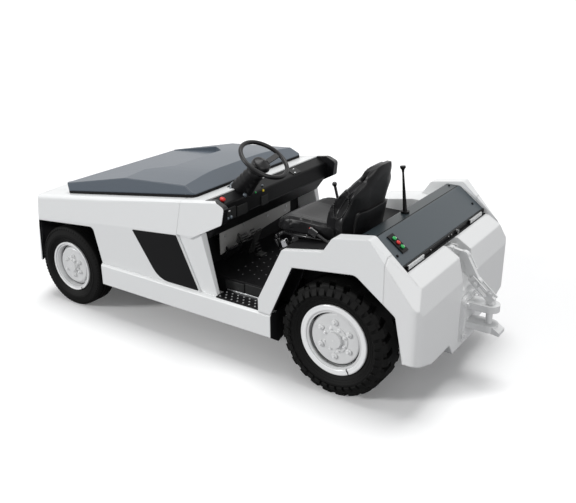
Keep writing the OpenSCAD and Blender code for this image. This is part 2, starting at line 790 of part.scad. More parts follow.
// Grey sheet that hangs under the dashboard
kick_fore = 1000;
kick_t = 5;
kick_low_up = 170;
kick_right_in = 325;
kick_left_in = 236;
function dash_under(y) =
    floor_z + dash_low_up + (dash_low_y - y) / (dash_low_y - bulkhead_y) * dash_face_h / 2;
module kick_panel() {
    y = rear_axle_y - kick_fore;
    color(bare_grey) prism_x([
        [y, floor_z + kick_low_up],
        [y + kick_t, floor_z + kick_low_up],
        [y + kick_t, dash_under(y + kick_t) - shut_gap],
        [y, dash_under(y) - shut_gap]], kick_right_in - half_w, half_w - kick_left_in);
}
// Steering column through the dashboard, along the raked axis
column_hub_fore = 770;
column_hub_z = 1202;
column_l = 330;
column_r = 46;
wheel_rim_r = 14;
wheel_dish = 26;
wheel_hub_r = 64;
wheel_hub_h = 34;
wheel_hub_dome = 22;
column_pin_r = 12;
spoke_angles = [0, 180];
spoke_w = 34;
spoke_t = 12;
module on_column() translate([driver_x, rear_axle_y - column_hub_fore, column_hub_z])
    rotate([-column_rake, 0, 0]) children();
module column_hole() on_column() translate([0, 0, -2 * column_l])
    cylinder(r = column_r + shut_gap, h = 2 * column_l);
module steering_column() {
    color(black_plastic) on_column() {
        translate([0, 0, -column_l]) cylinder(r = column_r, h = column_l);
        cylinder(r = column_pin_r, h = wheel_hub_h - wheel_hub_h / 4);
    }
}
module steering_wheel() {
    ring_r = steering_wheel_d / 2 - wheel_rim_r;
    run = ring_r - wheel_hub_r + spoke_t;
    rise = wheel_dish + wheel_hub_h / 2;
    color(black_plastic) on_column() difference() {
        translate([0, 0, shut_gap]) union() {
            translate([0, 0, wheel_hub_h + wheel_dish]) rotate_extrude()
                translate([ring_r, 0]) circle(r = wheel_rim_r);
            rotate_extrude() polygon(rounded([
                [0, 0, 0], [wheel_hub_r, 0, spoke_t / 2],
                [wheel_hub_r - spoke_t / 2, wheel_hub_h, wheel_hub_dome],
                [0, wheel_hub_h + wheel_hub_dome, 0]]));
            for (a = spoke_angles) rotate([0, 0, a])
                translate([wheel_hub_r - spoke_t, 0, wheel_hub_h / 2])
                    rotate([0, -atan2(rise, run), 0]) block([0, -spoke_w / 2, -spoke_t / 2],
                        [norm([run, rise]), spoke_w / 2, spoke_t / 2]);
        }
        translate([0, 0, -overrun])
            cylinder(r = column_pin_r + run_gap, h = overrun + wheel_hub_h - wheel_hub_h / 4 + shut_gap);
    }
}
// Pedals on arms from the bulkhead
pedal_brake_in = 80;
pedal_drive_out = 90;
pedal_w = 84;
pedal_h = 120;
pedal_t = 12;
pedal_up = 96;
pedal_reach = 130;
pedal_arm_r = 9;
pedal_tilt = 35;
pedal_foot = 22;
module pedals() {
    color(black_plastic) for (x = [driver_x - pedal_brake_in, driver_x + pedal_drive_out]) {
        translate([x, bulkhead_y + pedal_reach, floor_z + pedal_up]) rotate([-pedal_tilt, 0, 0])
            block([-pedal_w / 2, -pedal_t / 2, -pedal_h / 2], [pedal_w / 2, pedal_t / 2, pedal_h / 2]);
        bar([x, bulkhead_y + pedal_arm_r, floor_z + 2 * pedal_up],
            [x, bulkhead_y + pedal_reach, floor_z + pedal_up], pedal_arm_r);
        block([x - pedal_foot, bulkhead_y, floor_z + 2 * pedal_up - pedal_foot],
            [x + pedal_foot, bulkhead_y + 2 * pedal_arm_r, floor_z + 2 * pedal_up + pedal_foot]);
    }
}
// Deck under the seat, a folded cover over the drive
seat_deck_z = 812;
seat_deck_t = 14;
seat_deck_back = 110;
seat_deck_half = half_w - fender_w - shut_gap;
module seat_deck() {
    y1 = rear_axle_y + seat_deck_back;
    color(black_plastic) difference() {
        block([-seat_deck_half, floor_y1, floor_z - floor_t], [seat_deck_half, y1, seat_deck_z]);
        block([-seat_deck_half + seat_deck_t, floor_y1 + seat_deck_t, 0],
            [seat_deck_half - seat_deck_t, y1 - seat_deck_t, seat_deck_z - seat_deck_t]);
        both_sides() block([rail_x - rail_w / 2 - shut_gap, floor_y1 - overrun, 0],
            [rail_x + rail_w / 2 + shut_gap, y1 + overrun, rail_rear_z + rail_h]);
        block([-rail_x, rear_axle_y - axle_tunnel / 2, 0],
            [rail_x, y1 + overrun, rear_axle_z + axle_tunnel / 2]);
        block([-seat_deck_half - overrun, rear_axle_y - axle_tunnel, 0],
            [seat_deck_half + overrun, y1 + overrun, rail_rear_z + rail_h]);
    }
}
axle_tunnel = 400;
// Seat: suspension base, cushion and back
seat_front_fore = 492;
seat_cushion_t = 54;
seat_cushion_l = 420;
seat_r = 34;
seat_base_in = 90;
seat_base_gap = 8;
seat_back_fore = 86;
seat_back_t = 80;
seat_back_h = 440;
seat_shoulder_h = 345;
seat_neck_h = 388;
seat_head_half = 128;
seat_back_lean = 10;
seat_y0 = rear_axle_y - seat_front_fore;
module seat_base() {
    w = fender_in - driver_x - seat_base_gap;
    y1 = seat_y0 + seat_cushion_l;
    color(black_plastic) translate([driver_x, 0, 0]) difference() {
        prism_x(rounded([
            [floor_y1 + seat_deck_t, seat_deck_z, 0],
            [y1, seat_deck_z, 0],
            [y1, seat_z - seat_cushion_t, 0],
            [seat_y0 + seat_base_in / 2, seat_z - seat_cushion_t, 0],
            [seat_y0 + seat_base_in / 2, seat_z - seat_cushion_t - seat_r, seat_r / 2]]), -w, w);
        prism_x([
            [floor_y1 + seat_base_in, seat_deck_z + seat_r / 2],
            [y1 - seat_base_in, seat_deck_z + seat_r / 2],
            [y1 - seat_base_in, seat_z - seat_cushion_t - seat_r / 2],
            [floor_y1 + seat_base_in, seat_z - seat_cushion_t - seat_r / 2]], -reach, reach);
    }
}
module seat_cushion() {
    color(black_plastic) prism_x(rounded([
        [seat_y0, seat_z - seat_cushion_t, 0],
        [seat_y0 + seat_cushion_l, seat_z - seat_cushion_t, 0],
        [seat_y0 + seat_cushion_l, seat_z - seat_r / 2, seat_r / 2],
        [seat_y0, seat_z, seat_r]]), driver_x - seat_w / 2, driver_x + seat_w / 2);
}
module seat_back() {
    color(black_plastic) intersection() {
        translate([driver_x, rear_axle_y - seat_back_fore, seat_z - seat_cushion_t])
            rotate([-seat_back_lean, 0, 0]) prism_y(rounded([
                [-seat_w / 2, -overrun, 0], [seat_w / 2, -overrun, 0],
                [seat_w / 2, seat_shoulder_h, 2 * seat_r], [seat_head_half, seat_neck_h, seat_r / 2],
                [seat_head_half, seat_back_h, 2 * seat_r], [-seat_head_half, seat_back_h, 2 * seat_r],
                [-seat_head_half, seat_neck_h, seat_r / 2], [-seat_w / 2, seat_shoulder_h, 2 * seat_r]]),
                0, seat_back_t);
        block([-reach, seat_y0 + seat_cushion_l + shut_gap, bar_back_z + shut_gap], [reach, reach, reach]);
    }
}
// Parking brake lever beside the seat
lever_gap = 60;
lever_x = driver_x - seat_w / 2 - lever_gap;
lever_fore = 330;
lever_h = 260;
lever_r = 9;
lever_knob_r = 16;
lever_lean = 70;
module brake_lever() {
    foot = [lever_x, rear_axle_y - lever_fore, seat_deck_z];
    color(black_plastic) {
        bar(foot + [0, 0, lever_knob_r / 2], foot + [0, -lever_lean, lever_h], lever_r);
        translate(foot + [0, -lever_lean, lever_h]) sphere(r = lever_knob_r);
        translate(foot) cylinder(r = 2 * lever_knob_r, h = lever_knob_r);
    }
}
// Rear body: outline of fenders and tail seen from the side
leg_knee_up = 86;
leg_top_fore = 338;
leg_top_z = 860;
bar_back_fore = 62;
bar_back_z = 909;
crown_front_drop = 35;
well_front_back = 40;
crown_back = 225;
brow_back = 505;
brow_z = 794;
tail_slope_z = 652;
tail_round = 30;
tail_corner_r = 52;
function rear_outline() = rounded([
    [rear_axle_y - leg_front_fore, sill_top, 0],
    [rear_axle_y + weight_back, sill_top - overrun, 0],
    [rear_axle_y + weight_back, tail_slope_z, tail_round],
    [rear_axle_y + brow_back, brow_z, tail_round / 2],
    [rear_axle_y + crown_back, fender_top_z, tail_round],
    [rear_axle_y, fender_top_z - crown_front_drop, tail_round],
    [rear_axle_y - bar_back_fore, bar_back_z, tail_round],
    [rear_axle_y - leg_top_fore, leg_top_z, tail_round / 2],
    [rear_axle_y - leg_front_fore, sill_top + leg_knee_up, 0]]);
// Opening round each rear wheel
rear_arch_foot_fore = 429;
rear_arch_top_fore = 268;
rear_arch_front_z = 765;
rear_arch_crown_back = 148;
rear_arch_crown_z = 816;
rear_arch_heel_back = 400;
rear_arch_heel_z = 630;
rear_arch_foot_back = 452;
rear_arch_r = 60;
module rear_arch(x0, x1) {
    prism_x(rounded([
        [rear_axle_y - rear_arch_foot_fore - overrun / 2, 0, 0],
        [rear_axle_y + rear_arch_foot_back + overrun / 2, 0, 0],
        [rear_axle_y + rear_arch_foot_back, sill_top - overrun, 0],
        [rear_axle_y + rear_arch_heel_back, rear_arch_heel_z, rear_arch_r / 2],
        [rear_axle_y + rear_arch_crown_back, rear_arch_crown_z, rear_arch_r],
        [rear_axle_y - rear_arch_top_fore, rear_arch_front_z, 0],
        [rear_axle_y - rear_arch_foot_fore, sill_top, 0]]), x0, x1);
}
// Fenders: hollow box over each rear wheel with a leg down to the sill and a taller outer wall
fender_wall = 26;
fender_wall_w = 82;
tail_seam_back = 325;
bar_low_drop = 80;
fender_in = half_w - fender_w;
tail_seam_y = rear_axle_y + tail_seam_back;
// Space beyond the slanted plane that bevels each rear corner, from crest to brow to rear face
bevel_in = 8;
module tail_bevel() {
    crest = [half_w, rear_axle_y + crown_back, fender_top_z];
    foot = [half_w, rear_axle_y + weight_back, tail_slope_z];
    brow = [half_w - fender_wall_w - bevel_in, rear_axle_y + brow_back, brow_z];
    n = unit(cross(foot - crest, brow - crest));
    translate(crest) rotate([0, acos(n.z), atan2(n.y, n.x)])
        block([-reach, -reach, 0], [reach, reach, reach]);
}
module fender_left() {
    difference() {
        intersection() {
            prism_x(rear_outline(), fender_in, half_w);
            block([0, -reach, sill_top], [half_w, tail_seam_y - shut_gap, reach]);
        }
        rear_arch(fender_in - overrun, half_w + overrun);
        tail_bevel();
        prism_x([
            [rear_axle_y - bar_back_fore - overrun, bar_back_z],
            [rear_axle_y + well_front_back, bar_back_z],
            [rear_axle_y + 3 * well_front_back, bar_back_z - bar_low_drop],
            [tail_seam_y + overrun, bar_back_z - bar_low_drop],
            [tail_seam_y + overrun, reach],
            [rear_axle_y - bar_back_fore - overrun, reach]], fender_in - overrun, half_w - fender_wall_w);
        translate([0, 0, -fender_wall]) intersection() {
            prism_x(rear_outline(), fender_in + fender_wall, half_w - fender_wall);
            prism_x([
                [rear_axle_y - leg_front_fore + fender_wall, -overrun],
                [tail_seam_y + overrun, -overrun],
                [tail_seam_y + overrun, bar_back_z - bar_low_drop],
                [rear_axle_y + 2 * well_front_back, bar_back_z - bar_low_drop],
                [rear_axle_y - bar_back_fore, bar_back_z],
                [rear_axle_y - leg_top_fore + fender_wall, leg_top_z],
                [rear_axle_y - leg_front_fore + fender_wall, sill_top + leg_knee_up]], 0, half_w);
        }
    }
}
module fenders() color(white_paint) both_sides() fender_left();
// Tail weight: one casting behind the wheels with a shelf, a sloped back and a channel
weight_side_in = 260;
weight_half = half_w - weight_side_in;
shelf_back = 418;
shelf_z = 846;
weight_core_z = 640;
weight_side_z = 360;
weight_flank = 210;
keel_half = 170;
keel_z = 205;
keel_flank = 60;
channel_half = 84;
channel_front_back = 372;
channel_floor_z = 700;
channel_mouth_z = 560;
arm_pivot_back = 412;
arm_pivot_z = 796;
arm_pin_r = 12;
clevis_in = 24;
clevis_t = 14;
clevis_r = 30;
function weight_plan() = rounded([
    [half_w, -reach, 0],
    [half_w, rear_axle_y + weight_back, tail_corner_r],
    [-half_w, rear_axle_y + weight_back, tail_corner_r],
    [-half_w, -reach, 0]], 5);
module weight_form() {
    recess = half_w - fender_wall_w;
    difference() {
        intersection() {
            prism_x(concat([[rear_axle_y - leg_front_fore, keel_z], [rear_axle_y + weight_back, keel_z]],
                [for (p = rear_outline()) if (p.y > sill_top) p]), -half_w, half_w);
            prism_z(weight_plan(), 0, reach);
            prism_y([
                [-keel_half, keel_z], [keel_half, keel_z],
                [keel_half + keel_flank, weight_bottom_z],
                [half_w - weight_flank, weight_bottom_z],
                [half_w, weight_side_z],
                [half_w, reach], [-half_w, reach], [-half_w, weight_side_z],
                [-half_w + weight_flank, weight_bottom_z],
                [-keel_half - keel_flank, weight_bottom_z]], -reach, reach);
            union() {
                block([-half_w, tail_seam_y, 0], [half_w, reach, reach]);
                block([-weight_half, rear_axle_y + weight_front_back, 0],
                    [weight_half, reach, weight_core_z]);
            }
        }
        prism_x([
            [rear_axle_y, shelf_z],
            [rear_axle_y + shelf_back, shelf_z],
            [rear_axle_y + brow_back, brow_z],
            [rear_axle_y + brow_back + overrun, brow_z],
            [rear_axle_y + brow_back + overrun, reach],
            [rear_axle_y, reach]], -recess, recess);
        both_sides() tail_bevel();
        both_sides() rear_arch(weight_half, half_w + overrun);
        prism_x([
            [rear_axle_y + channel_front_back, reach],
            [rear_axle_y + channel_front_back, channel_floor_z],
            [rear_axle_y + weight_back + overrun, channel_mouth_z],
            [rear_axle_y + weight_back + overrun, reach]], -channel_half, channel_half);
    }
}
module tail_weight() {
    color(white_paint) union() {
        weight_form();
        translate([-channel_half, rear_axle_y + arm_pivot_back, arm_pivot_z]) rotate([0, 90, 0])
            cylinder(r = arm_pin_r, h = 2 * channel_half);
        both_sides() block(
            [clevis_in, rear_axle_y + channel_front_back - overrun, arm_pivot_z - clevis_r],
            [clevis_in + clevis_t, rear_axle_y + arm_pivot_back + clevis_r, arm_pivot_z + clevis_r]);
    }
}
// Tail cover: folded slate panel behind the seat
cover_front_back = 106;
cover_crest_back = 205;
cover_top_z = 1008;
cover_low_back = 370;
cover_low_z = 880;
cover_t = 14;
cover_r = 16;
cover_gap = 3;
cover_half = half_w - fender_wall_w - cover_gap;
module tail_cover() {
    color(slate_paint) prism_x(rounded([
        [rear_axle_y + cover_front_back, bar_back_z, 0],
        [rear_axle_y + cover_front_back + cover_t, bar_back_z, 0],
        [rear_axle_y + cover_front_back + cover_t, cover_top_z - cover_t, 0],
        [rear_axle_y + cover_crest_back - cover_t / 2, cover_top_z - cover_t, 0],
        [rear_axle_y + cover_low_back - cover_t, cover_low_z, 0],
        [rear_axle_y + cover_low_back + cover_t / 2, cover_low_z, 0],
        [rear_axle_y + cover_crest_back, cover_top_z, cover_r],
        [rear_axle_y + cover_front_back, cover_top_z, cover_r]]), -cover_half, cover_half);
}
// Black bar under the cover with two clear lamps
lamp_bar_back = 386;
lamp_bar_d = 52;
tail_lamp_in = 161;
tail_lamp_x = cover_half - tail_lamp_in;
tail_lamp_w = 206;
tail_lamp_t = 8;
module tail_lamp_bar() {
    color(black_plastic) block(
        [-cover_half, rear_axle_y + lamp_bar_back - lamp_bar_d, shelf_z],
        [cover_half, rear_axle_y + lamp_bar_back, cover_low_z]);
}
module tail_lamps() {
    y = rear_axle_y + lamp_bar_back;
    color([0.95, 0.95, 0.93]) both_sides() block(
        [tail_lamp_x - tail_lamp_w / 2, y, shelf_z + tail_lamp_t / 2],
        [tail_lamp_x + tail_lamp_w / 2, y + tail_lamp_t, cover_low_z - tail_lamp_t / 2]);
}
// Switch box for inching from the ground, on the cover's slope
switch_in = 150;
switch_x = cover_half - switch_in;
switch_w = 68;
switch_l = 128;
switch_drop = 28;
switch_t = 7;
switch_button_r = 11;
cover_slope = atan2(cover_top_z - cover_low_z, cover_low_back + cover_t / 2 - cover_crest_back);
module inching_switches() {
    color(black_plastic) translate([switch_x, rear_axle_y + cover_crest_back, cover_top_z])
        rotate([-cover_slope, 0, 0]) translate([0, switch_l / 2 + switch_drop, cover_lift]) {
            block([-switch_w / 2, -switch_l / 2, 0], [switch_w / 2, switch_l / 2, switch_t]);
            for (i = [-1:1]) translate([0, i * switch_l / 4, switch_t])
                cylinder(r = switch_button_r, h = switch_t);
        }
}
cover_lift = 0.2;
// Upright release lever on the cover
mast_x = 100;
mast_back = 150;
mast_h = 285;
mast_lean = 30;
mast_foot_r = 13;
mast_tip_r = 6;
mast_knob_r = 17;
mast_knob_h = 44;
module release_lever() {
    color(black_plastic) translate([mast_x, rear_axle_y + mast_back, cover_top_z]) union() {
        cylinder(r = 2 * mast_foot_r, h = mast_foot_r);
        rotate([atan2(mast_lean, mast_h), 0, 0]) rotate_extrude() polygon([
            [0, mast_tip_r], [mast_foot_r, mast_tip_r], [mast_tip_r, mast_h - mast_knob_h],
            [mast_knob_r * knob_waist_share, mast_h - mast_knob_h / 2],
            [mast_knob_r, mast_h - mast_knob_h / 4], [mast_knob_r, mast_h], [0, mast_h]]);
    }
}
knob_waist_share = 0.5;
// Hitch: bolted plate with two jaws for a drop pin
hitch_plate_w = 196;
hitch_plate_t = 24;
hitch_plate_up = 36;
hitch_plate_down = 256;
hitch_plate_r = 40;
jaw_t = 42;
jaw_r = 58;
hitch_pin_back = 686;
jaw_lip_drop = 12;
pin_clear = 0.6;
plate_y = rear_axle_y + weight_back;
pin_y = rear_axle_y + hitch_pin_back;
low_jaw_top = hitch_z - jaw_t - jaw_gap;
module jaw(z, r) {
    translate([0, pin_y, z]) cylinder(r = r, h = jaw_t);
    block([-r, plate_y, z], [r, pin_y, z + jaw_t]);
}
module hitch_bracket() {
    color(white_paint) difference() {
        union() {
            prism_y(rounded([
                [-hitch_plate_w / 2, hitch_z - hitch_plate_down, hitch_plate_r / 3],
                [hitch_plate_w / 2, hitch_z - hitch_plate_down, hitch_plate_r / 3],
                [hitch_plate_w / 2, hitch_z + hitch_plate_up, hitch_plate_r],
                [-hitch_plate_w / 2, hitch_z + hitch_plate_up, hitch_plate_r]]),
                plate_y, plate_y + hitch_plate_t);
            jaw(hitch_z - jaw_t, jaw_r);
            jaw(low_jaw_top - jaw_t, jaw_r);
            prism_x([
                [pin_y, low_jaw_top - jaw_t],
                [rear_axle_y + rear_overhang, low_jaw_top - jaw_t - jaw_lip_drop],
                [rear_axle_y + rear_overhang, low_jaw_top - jaw_t / 2 - jaw_lip_drop],
                [pin_y + jaw_r / 2, low_jaw_top]], -jaw_r * lip_share, jaw_r * lip_share);
        }
        translate([0, pin_y, 0]) cylinder(r = hitch_pin_d / 2 + pin_clear, h = hitch_z + overrun);
    }
}
lip_share = 0.8;
// Drop pin with slotted link plates that the lifting arm pulls
pin_foot = 22;
pin_head = 38;
pin_head_share = 0.72;
link_t = 9;
link_gap = 40;
link_h = 46;
slot_h = 30;
arm_tip_back = 594;
arm_tip_z = 628;
link_slot = 96;
tip_pin_r = 9;
module hitch_pin() {
    top = hitch_z + pin_head;
    foot = low_jaw_top - jaw_t - pin_foot;
    link_l = norm([arm_tip_z - top, arm_tip_back - hitch_pin_back]) + link_h;
    link_a = atan2(arm_tip_z - top, arm_tip_back - hitch_pin_back);
    color(bare_grey) union() {
        translate([0, pin_y, foot]) cylinder(r = hitch_pin_d / 2, h = top - foot);
        translate([0, pin_y, hitch_z + pin_clear]) cylinder(r = hitch_pin_d * pin_head_share, h = pin_head);
        both_sides() difference() {
            translate([link_gap / 2, pin_y, top]) rotate([link_a, 0, 0])
                block([0, -link_h / 2, -link_h / 2], [link_t, link_l, link_h / 2]);
            translate([0, rear_axle_y + arm_tip_back, arm_tip_z]) rotate([link_a, 0, 0])
                block([0, -link_slot, -slot_h / 2], [reach, slot_h / 2, slot_h / 2]);
        }
        translate([-link_gap / 2, pin_y, top]) rotate([0, 90, 0]) cylinder(r = tip_pin_r, h = link_gap);
    }
}
// Lifting arm on a cross pin in the channel, with a bent hand rod on its right side
arm_t = 34;
arm_plate_t = 28;
arm_w = 46;
arm_boss_r = 29;
arm_elbow_back = 503;
arm_elbow_z = 781;
module hitch_arm() {
    pivot = [rear_axle_y + arm_pivot_back, arm_pivot_z];
    elbow = [rear_axle_y + arm_elbow_back, arm_elbow_z];
    tip = [rear_axle_y + arm_tip_back, arm_tip_z];
    color(white_paint) difference() {
        union() {
            arm_run(pivot, elbow);
            arm_run(elbow, tip);
            for (p = [pivot, elbow, tip]) arm_boss(p);
            translate([-link_gap / 2 - 2 * link_t, tip.x, tip.y]) rotate([0, 90, 0])
                cylinder(r = tip_pin_r, h = link_gap + 4 * link_t);
            hand_rod(elbow + (tip - elbow) * rod_from_share, elbow + (tip - elbow) * rod_to_share);
        }
        translate([-reach / 2, pivot.x, pivot.y]) rotate([0, 90, 0])
            cylinder(r = arm_pin_r + run_gap, h = reach);
    }
}
rod_from_share = 0.10;
rod_to_share = 0.64;
rod_out = 66;
rod_hook = 48;
rod_r = 6;
rod_grip_r = 6.5;
module hand_rod(from, to) {
    along = unit(to - from) * rod_r;
    bar([0, from.x, from.y], [-rod_out - rod_r, from.x, from.y], rod_r);
    bar(concat([-rod_out], from - along), concat([-rod_out], to + along), rod_grip_r);
    bar([-rod_hook, to.x, to.y], [-rod_out - rod_r, to.x, to.y], rod_r);
}
module arm_boss(p) translate([-arm_t / 2, p.x, p.y]) rotate([0, 90, 0]) cylinder(r = arm_boss_r, h = arm_t);
module arm_run(from, to) {
    d = to - from;
    translate([0, from.x, from.y]) rotate([atan2(d.y, d.x), 0, 0])
        block([-arm_plate_t / 2, 0, -arm_w / 2], [arm_plate_t / 2, norm(d), arm_w / 2]);
}
// Steering knuckles: fork round the axle eye with kingpin, spindle and steering arm
ear_t = 26;
ear_r = 34;
spindle_r = 28;
spindle_l = 111;
arm_back = 150;
arm_thick = 18;
arm_eye_r = 18;
arm_half = 15;
tie_r = 13;
tie_gap = 0.6;
tie_ball_share = 1.4;
module knuckle() {
    ear_z = eye_h / 2 + tie_gap;
    translate([kingpin_x, front_axle_y, front_axle_z]) {
        translate([0, 0, -ear_z - ear_t]) cylinder(r = kingpin_r, h = 2 * (ear_z + ear_t));
        for (z = [-ear_z - ear_t, ear_z]) {
            translate([0, 0, z]) cylinder(r = ear_r, h = ear_t);
            block([0, -ear_r, z], [eye_r + ear_t, ear_r, z + ear_t]);
        }
        block([eye_r + 5 * tie_gap, -ear_r, -ear_z - ear_t], [eye_r + ear_t, ear_r, ear_z + ear_t]);
        translate([eye_r + ear_t, 0, 0]) rotate([0, 90, 0]) cylinder(r = spindle_r, h = spindle_l);
        block([-arm_half, 0, -ear_z - ear_t], [arm_half, arm_back, -ear_z - ear_t + arm_thick]);
        translate([0, arm_back, -ear_z - ear_t]) cylinder(r = arm_eye_r, h = arm_thick);
    }
}
module knuckle_left() color(dark_steel) knuckle();
module knuckle_right() color(dark_steel) mirror([1, 0, 0]) knuckle();
// Tie rod under the steering arms
module tie_rod() {
    z = front_axle_z - eye_h / 2 - tie_gap - ear_t - tie_gap;
    color(dark_steel) translate([0, front_axle_y + arm_back, z]) {
        bar([-kingpin_x, 0, -2 * tie_r], [kingpin_x, 0, -2 * tie_r], tie_r);
        both_sides() {
            translate([kingpin_x, 0, -2 * tie_r]) sphere(r = tie_r * tie_ball_share);
            translate([kingpin_x, 0, -2 * tie_r]) cylinder(r = tie_r, h = 2 * tie_r);
        }
    }
}
// Wheels, turned about X with the outer side towards +X
flange_h = 19;
flange_t = 9;
rim_t = 9;
bead_share = 0.73;
lip_step = 5;
lip_w = 13;
lip_deep = 16;
disc_t = 12;
disc_in = 26;
disc_drop = 34;
disc_flat_share = 0.74;
vent_count = 4;
vent_l = 62;
vent_turn = 55;
nut_r = 13;
nut_h = 17;
nut_seat_r = 18;
nut_count = 6;
hub_flange_h = 5;
hub_cap_h = 26;
hub_l = 56;
// Pressed rim about Z: flanges, barrel, lock ring and domed disc with nuts and hub
module rim(rim_d, tyre_w, shaft_r, shaft_end, ring_w, nut_ring_r, hub_flange_r, hub_cap_r) {
    r = rim_d / 2;
    seat_r = r - flange_h;
    weld_r = seat_r - rim_t / 2;
    flat_r = seat_r * disc_flat_share;
    half = tyre_w * bead_share / 2;
    face_x = half + flange_t;
    lip_r = r - ring_w - lip_w;
    disc_x = half - disc_in;
    top = disc_x + disc_t;
    rotate([0, 90, 0]) difference() {
        union() {
            rotate_extrude() polygon([
                [seat_r - rim_t, -half - flange_t], [r, -half - flange_t], [r, -half], [seat_r, -half],
                [seat_r, half], [r, half], [r, face_x], [r - ring_w, face_x],
                [r - ring_w, face_x - lip_step], [lip_r, face_x - lip_step], [lip_r, face_x - lip_deep],
                [seat_r - rim_t, face_x - 2 * lip_deep]]);
            difference() {
                rotate_extrude() polygon(rounded([
                    [0, disc_x, 0], [flat_r, disc_x, 0], [weld_r, disc_x - disc_drop, 0],
                    [weld_r, disc_x - disc_drop + disc_t, 0], [flat_r + disc_t / 2, top, disc_t],
                    [0, top, 0]]));
                for (i = [0:vent_count - 1]) rotate([0, 0, vent_turn + i * 360 / vent_count])
                    block([flat_r + disc_t, -vent_l / 2, disc_x - 2 * disc_drop],
                        [weld_r - rim_t, vent_l / 2, top]);
            }
            translate([0, 0, shaft_end - hub_l])
                cylinder(r = shaft_r + 2 * rim_t, h = top - shaft_end + hub_l);
            translate([0, 0, disc_x]) cylinder(r = hub_flange_r, h = disc_t + hub_flange_h);
            translate([0, 0, disc_x])
                cylinder(r = hub_cap_r, h = max(disc_t + hub_cap_h, shaft_end + rim_t - disc_x));
            for (i = [0:nut_count - 1])
                rotate([0, 0, i * 360 / nut_count]) translate([nut_ring_r, 0, disc_x]) {
                    cylinder(r = nut_seat_r, h = disc_t + hub_flange_h);
                    cylinder(r = nut_r, h = disc_t + nut_h, $fn = 6);
                }
        }
        translate([0, 0, shaft_end + 2 * run_gap - reach]) cylinder(r = shaft_r + run_gap, h = reach);
    }
}
// Half-section of a tyre between its beads, as [radius, along]
module tyre_body(tyre_d, tyre_w, rim_d) {
    r = tyre_d / 2;
    seat_r = rim_d / 2 - flange_h;
    bead = tyre_w * bead_share / 2;
    toe_r = seat_r + flange_h * bead_height_share;
    wall_r = (r + seat_r) / 2;
    tread = tyre_w / 2 * tread_share;
    rotate([0, 90, 0]) rotate_extrude() polygon(rounded([
        [seat_r, -bead, 0], [toe_r, -bead, 0], [wall_r, -tyre_w / 2, tyre_w / 6],
        [r, -tread, tyre_w / 10], [r, tread, tyre_w / 10],
        [wall_r, tyre_w / 2, tyre_w / 6], [toe_r, bead, 0], [seat_r, bead, 0]], 3));
}
bead_height_share = 1.2;
tread_share = 0.88;
lug_deep = 26;
lug_slot_share = 0.42;
groove_w = 8;
groove_deep = 9;
module rear_tyre() {
    r = rear_tyre_d / 2;
    slot = 2 * r * PI / lug_count * lug_slot_share;
    lug_reach = rear_tyre_w * lug_reach_share;
    difference() {
        tyre_body(rear_tyre_d, rear_tyre_w, rear_rim_d);
        for (s = [-1, 1], i = [0:lug_count - 1])
            rotate([(i + (s > 0 ? 0 : 1 / 2)) * 360 / lug_count, 0, 0])
                translate([s * rear_tyre_w / 2, 0, r]) rotate([0, 0, s * lug_turn])
                    block([-lug_reach, -slot / 2, -lug_deep], [lug_reach, slot / 2, lug_deep]);
    }
}
lug_turn = 24;
lug_reach_share = 0.36;
module front_tyre() {
    r = front_tyre_d / 2;
    difference() {
        tyre_body(front_tyre_d, front_tyre_w, front_rim_d);
        rotate([0, 90, 0]) for (x = [-1, 0, 1])
            translate([0, 0, x * front_tyre_w / 5 - groove_w / 2]) difference() {
                cylinder(r = r + overrun, h = groove_w);
                translate([0, 0, -groove_w]) cylinder(r = r - groove_deep, h = 3 * groove_w);
            }
    }
}
module at_front(side) translate([side * front_wheel_x, front_axle_y, front_axle_z])
    mirror([side < 0 ? 1 : 0, 0, 0]) children();
module at_rear(side) translate([side * rear_wheel_x, rear_axle_y, rear_axle_z])
    mirror([side < 0 ? 1 : 0, 0, 0]) children();
spindle_end = eye_r + ear_t + spindle_l - kingpin_in;
front_ring_w = 12;
front_nut_ring_r = 74;
front_flange_r = 53;
front_cap_r = 41;
rear_ring_w = 36;
rear_nut_ring_r = 109;
rear_flange_r = 86;
rear_cap_r = 51;
module front_rim() color(white_paint) rim(front_rim_d, front_tyre_w, spindle_r, spindle_end,
    front_ring_w, front_nut_ring_r, front_flange_r, front_cap_r);
module rear_rim() color(white_paint) rim(rear_rim_d, rear_tyre_w, stub_r, hub_plane,
    rear_ring_w, rear_nut_ring_r, rear_flange_r, rear_cap_r);
module front_rim_left() at_front(1) front_rim();
module front_rim_right() at_front(-1) front_rim();
module front_tyre_left() color(tyre_black) at_front(1) front_tyre();
module front_tyre_right() color(tyre_black) at_front(-1) front_tyre();
module rear_rim_left() at_rear(1) rear_rim();
module rear_rim_right() at_rear(-1) rear_rim();
module rear_tyre_left() color(tyre_black) at_rear(1) rear_tyre();
module rear_tyre_right() color(tyre_black) at_rear(-1) rear_tyre();

frame();
battery();
drive_motor();
front_axle();
front_springs();
rear_axle();
rear_springs();
nose_panel();
side_panels();
side_inlays();
sills();
mud_plates();
cowl_panels();
cowl_top();
bulkhead();
kick_panel();
hood();
hood_seal();
headlamps();
floor_pan();
step_plates();
dashboard();
steering_column();
steering_wheel();
pedals();
seat_deck();
seat_base();
seat_cushion();
seat_back();
brake_lever();
fenders();
tail_weight();
tail_cover();
tail_lamp_bar();
tail_lamps();
inching_switches();
release_lever();
hitch_bracket();
hitch_pin();
hitch_arm();
knuckle_left();
knuckle_right();
tie_rod();
front_rim_left();
front_tyre_left();
front_rim_right();
front_tyre_right();
rear_rim_left();
rear_tyre_left();
rear_rim_right();
rear_tyre_right();
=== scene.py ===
import json
import math

import bmesh
import bpy
from mathutils import Matrix, Vector


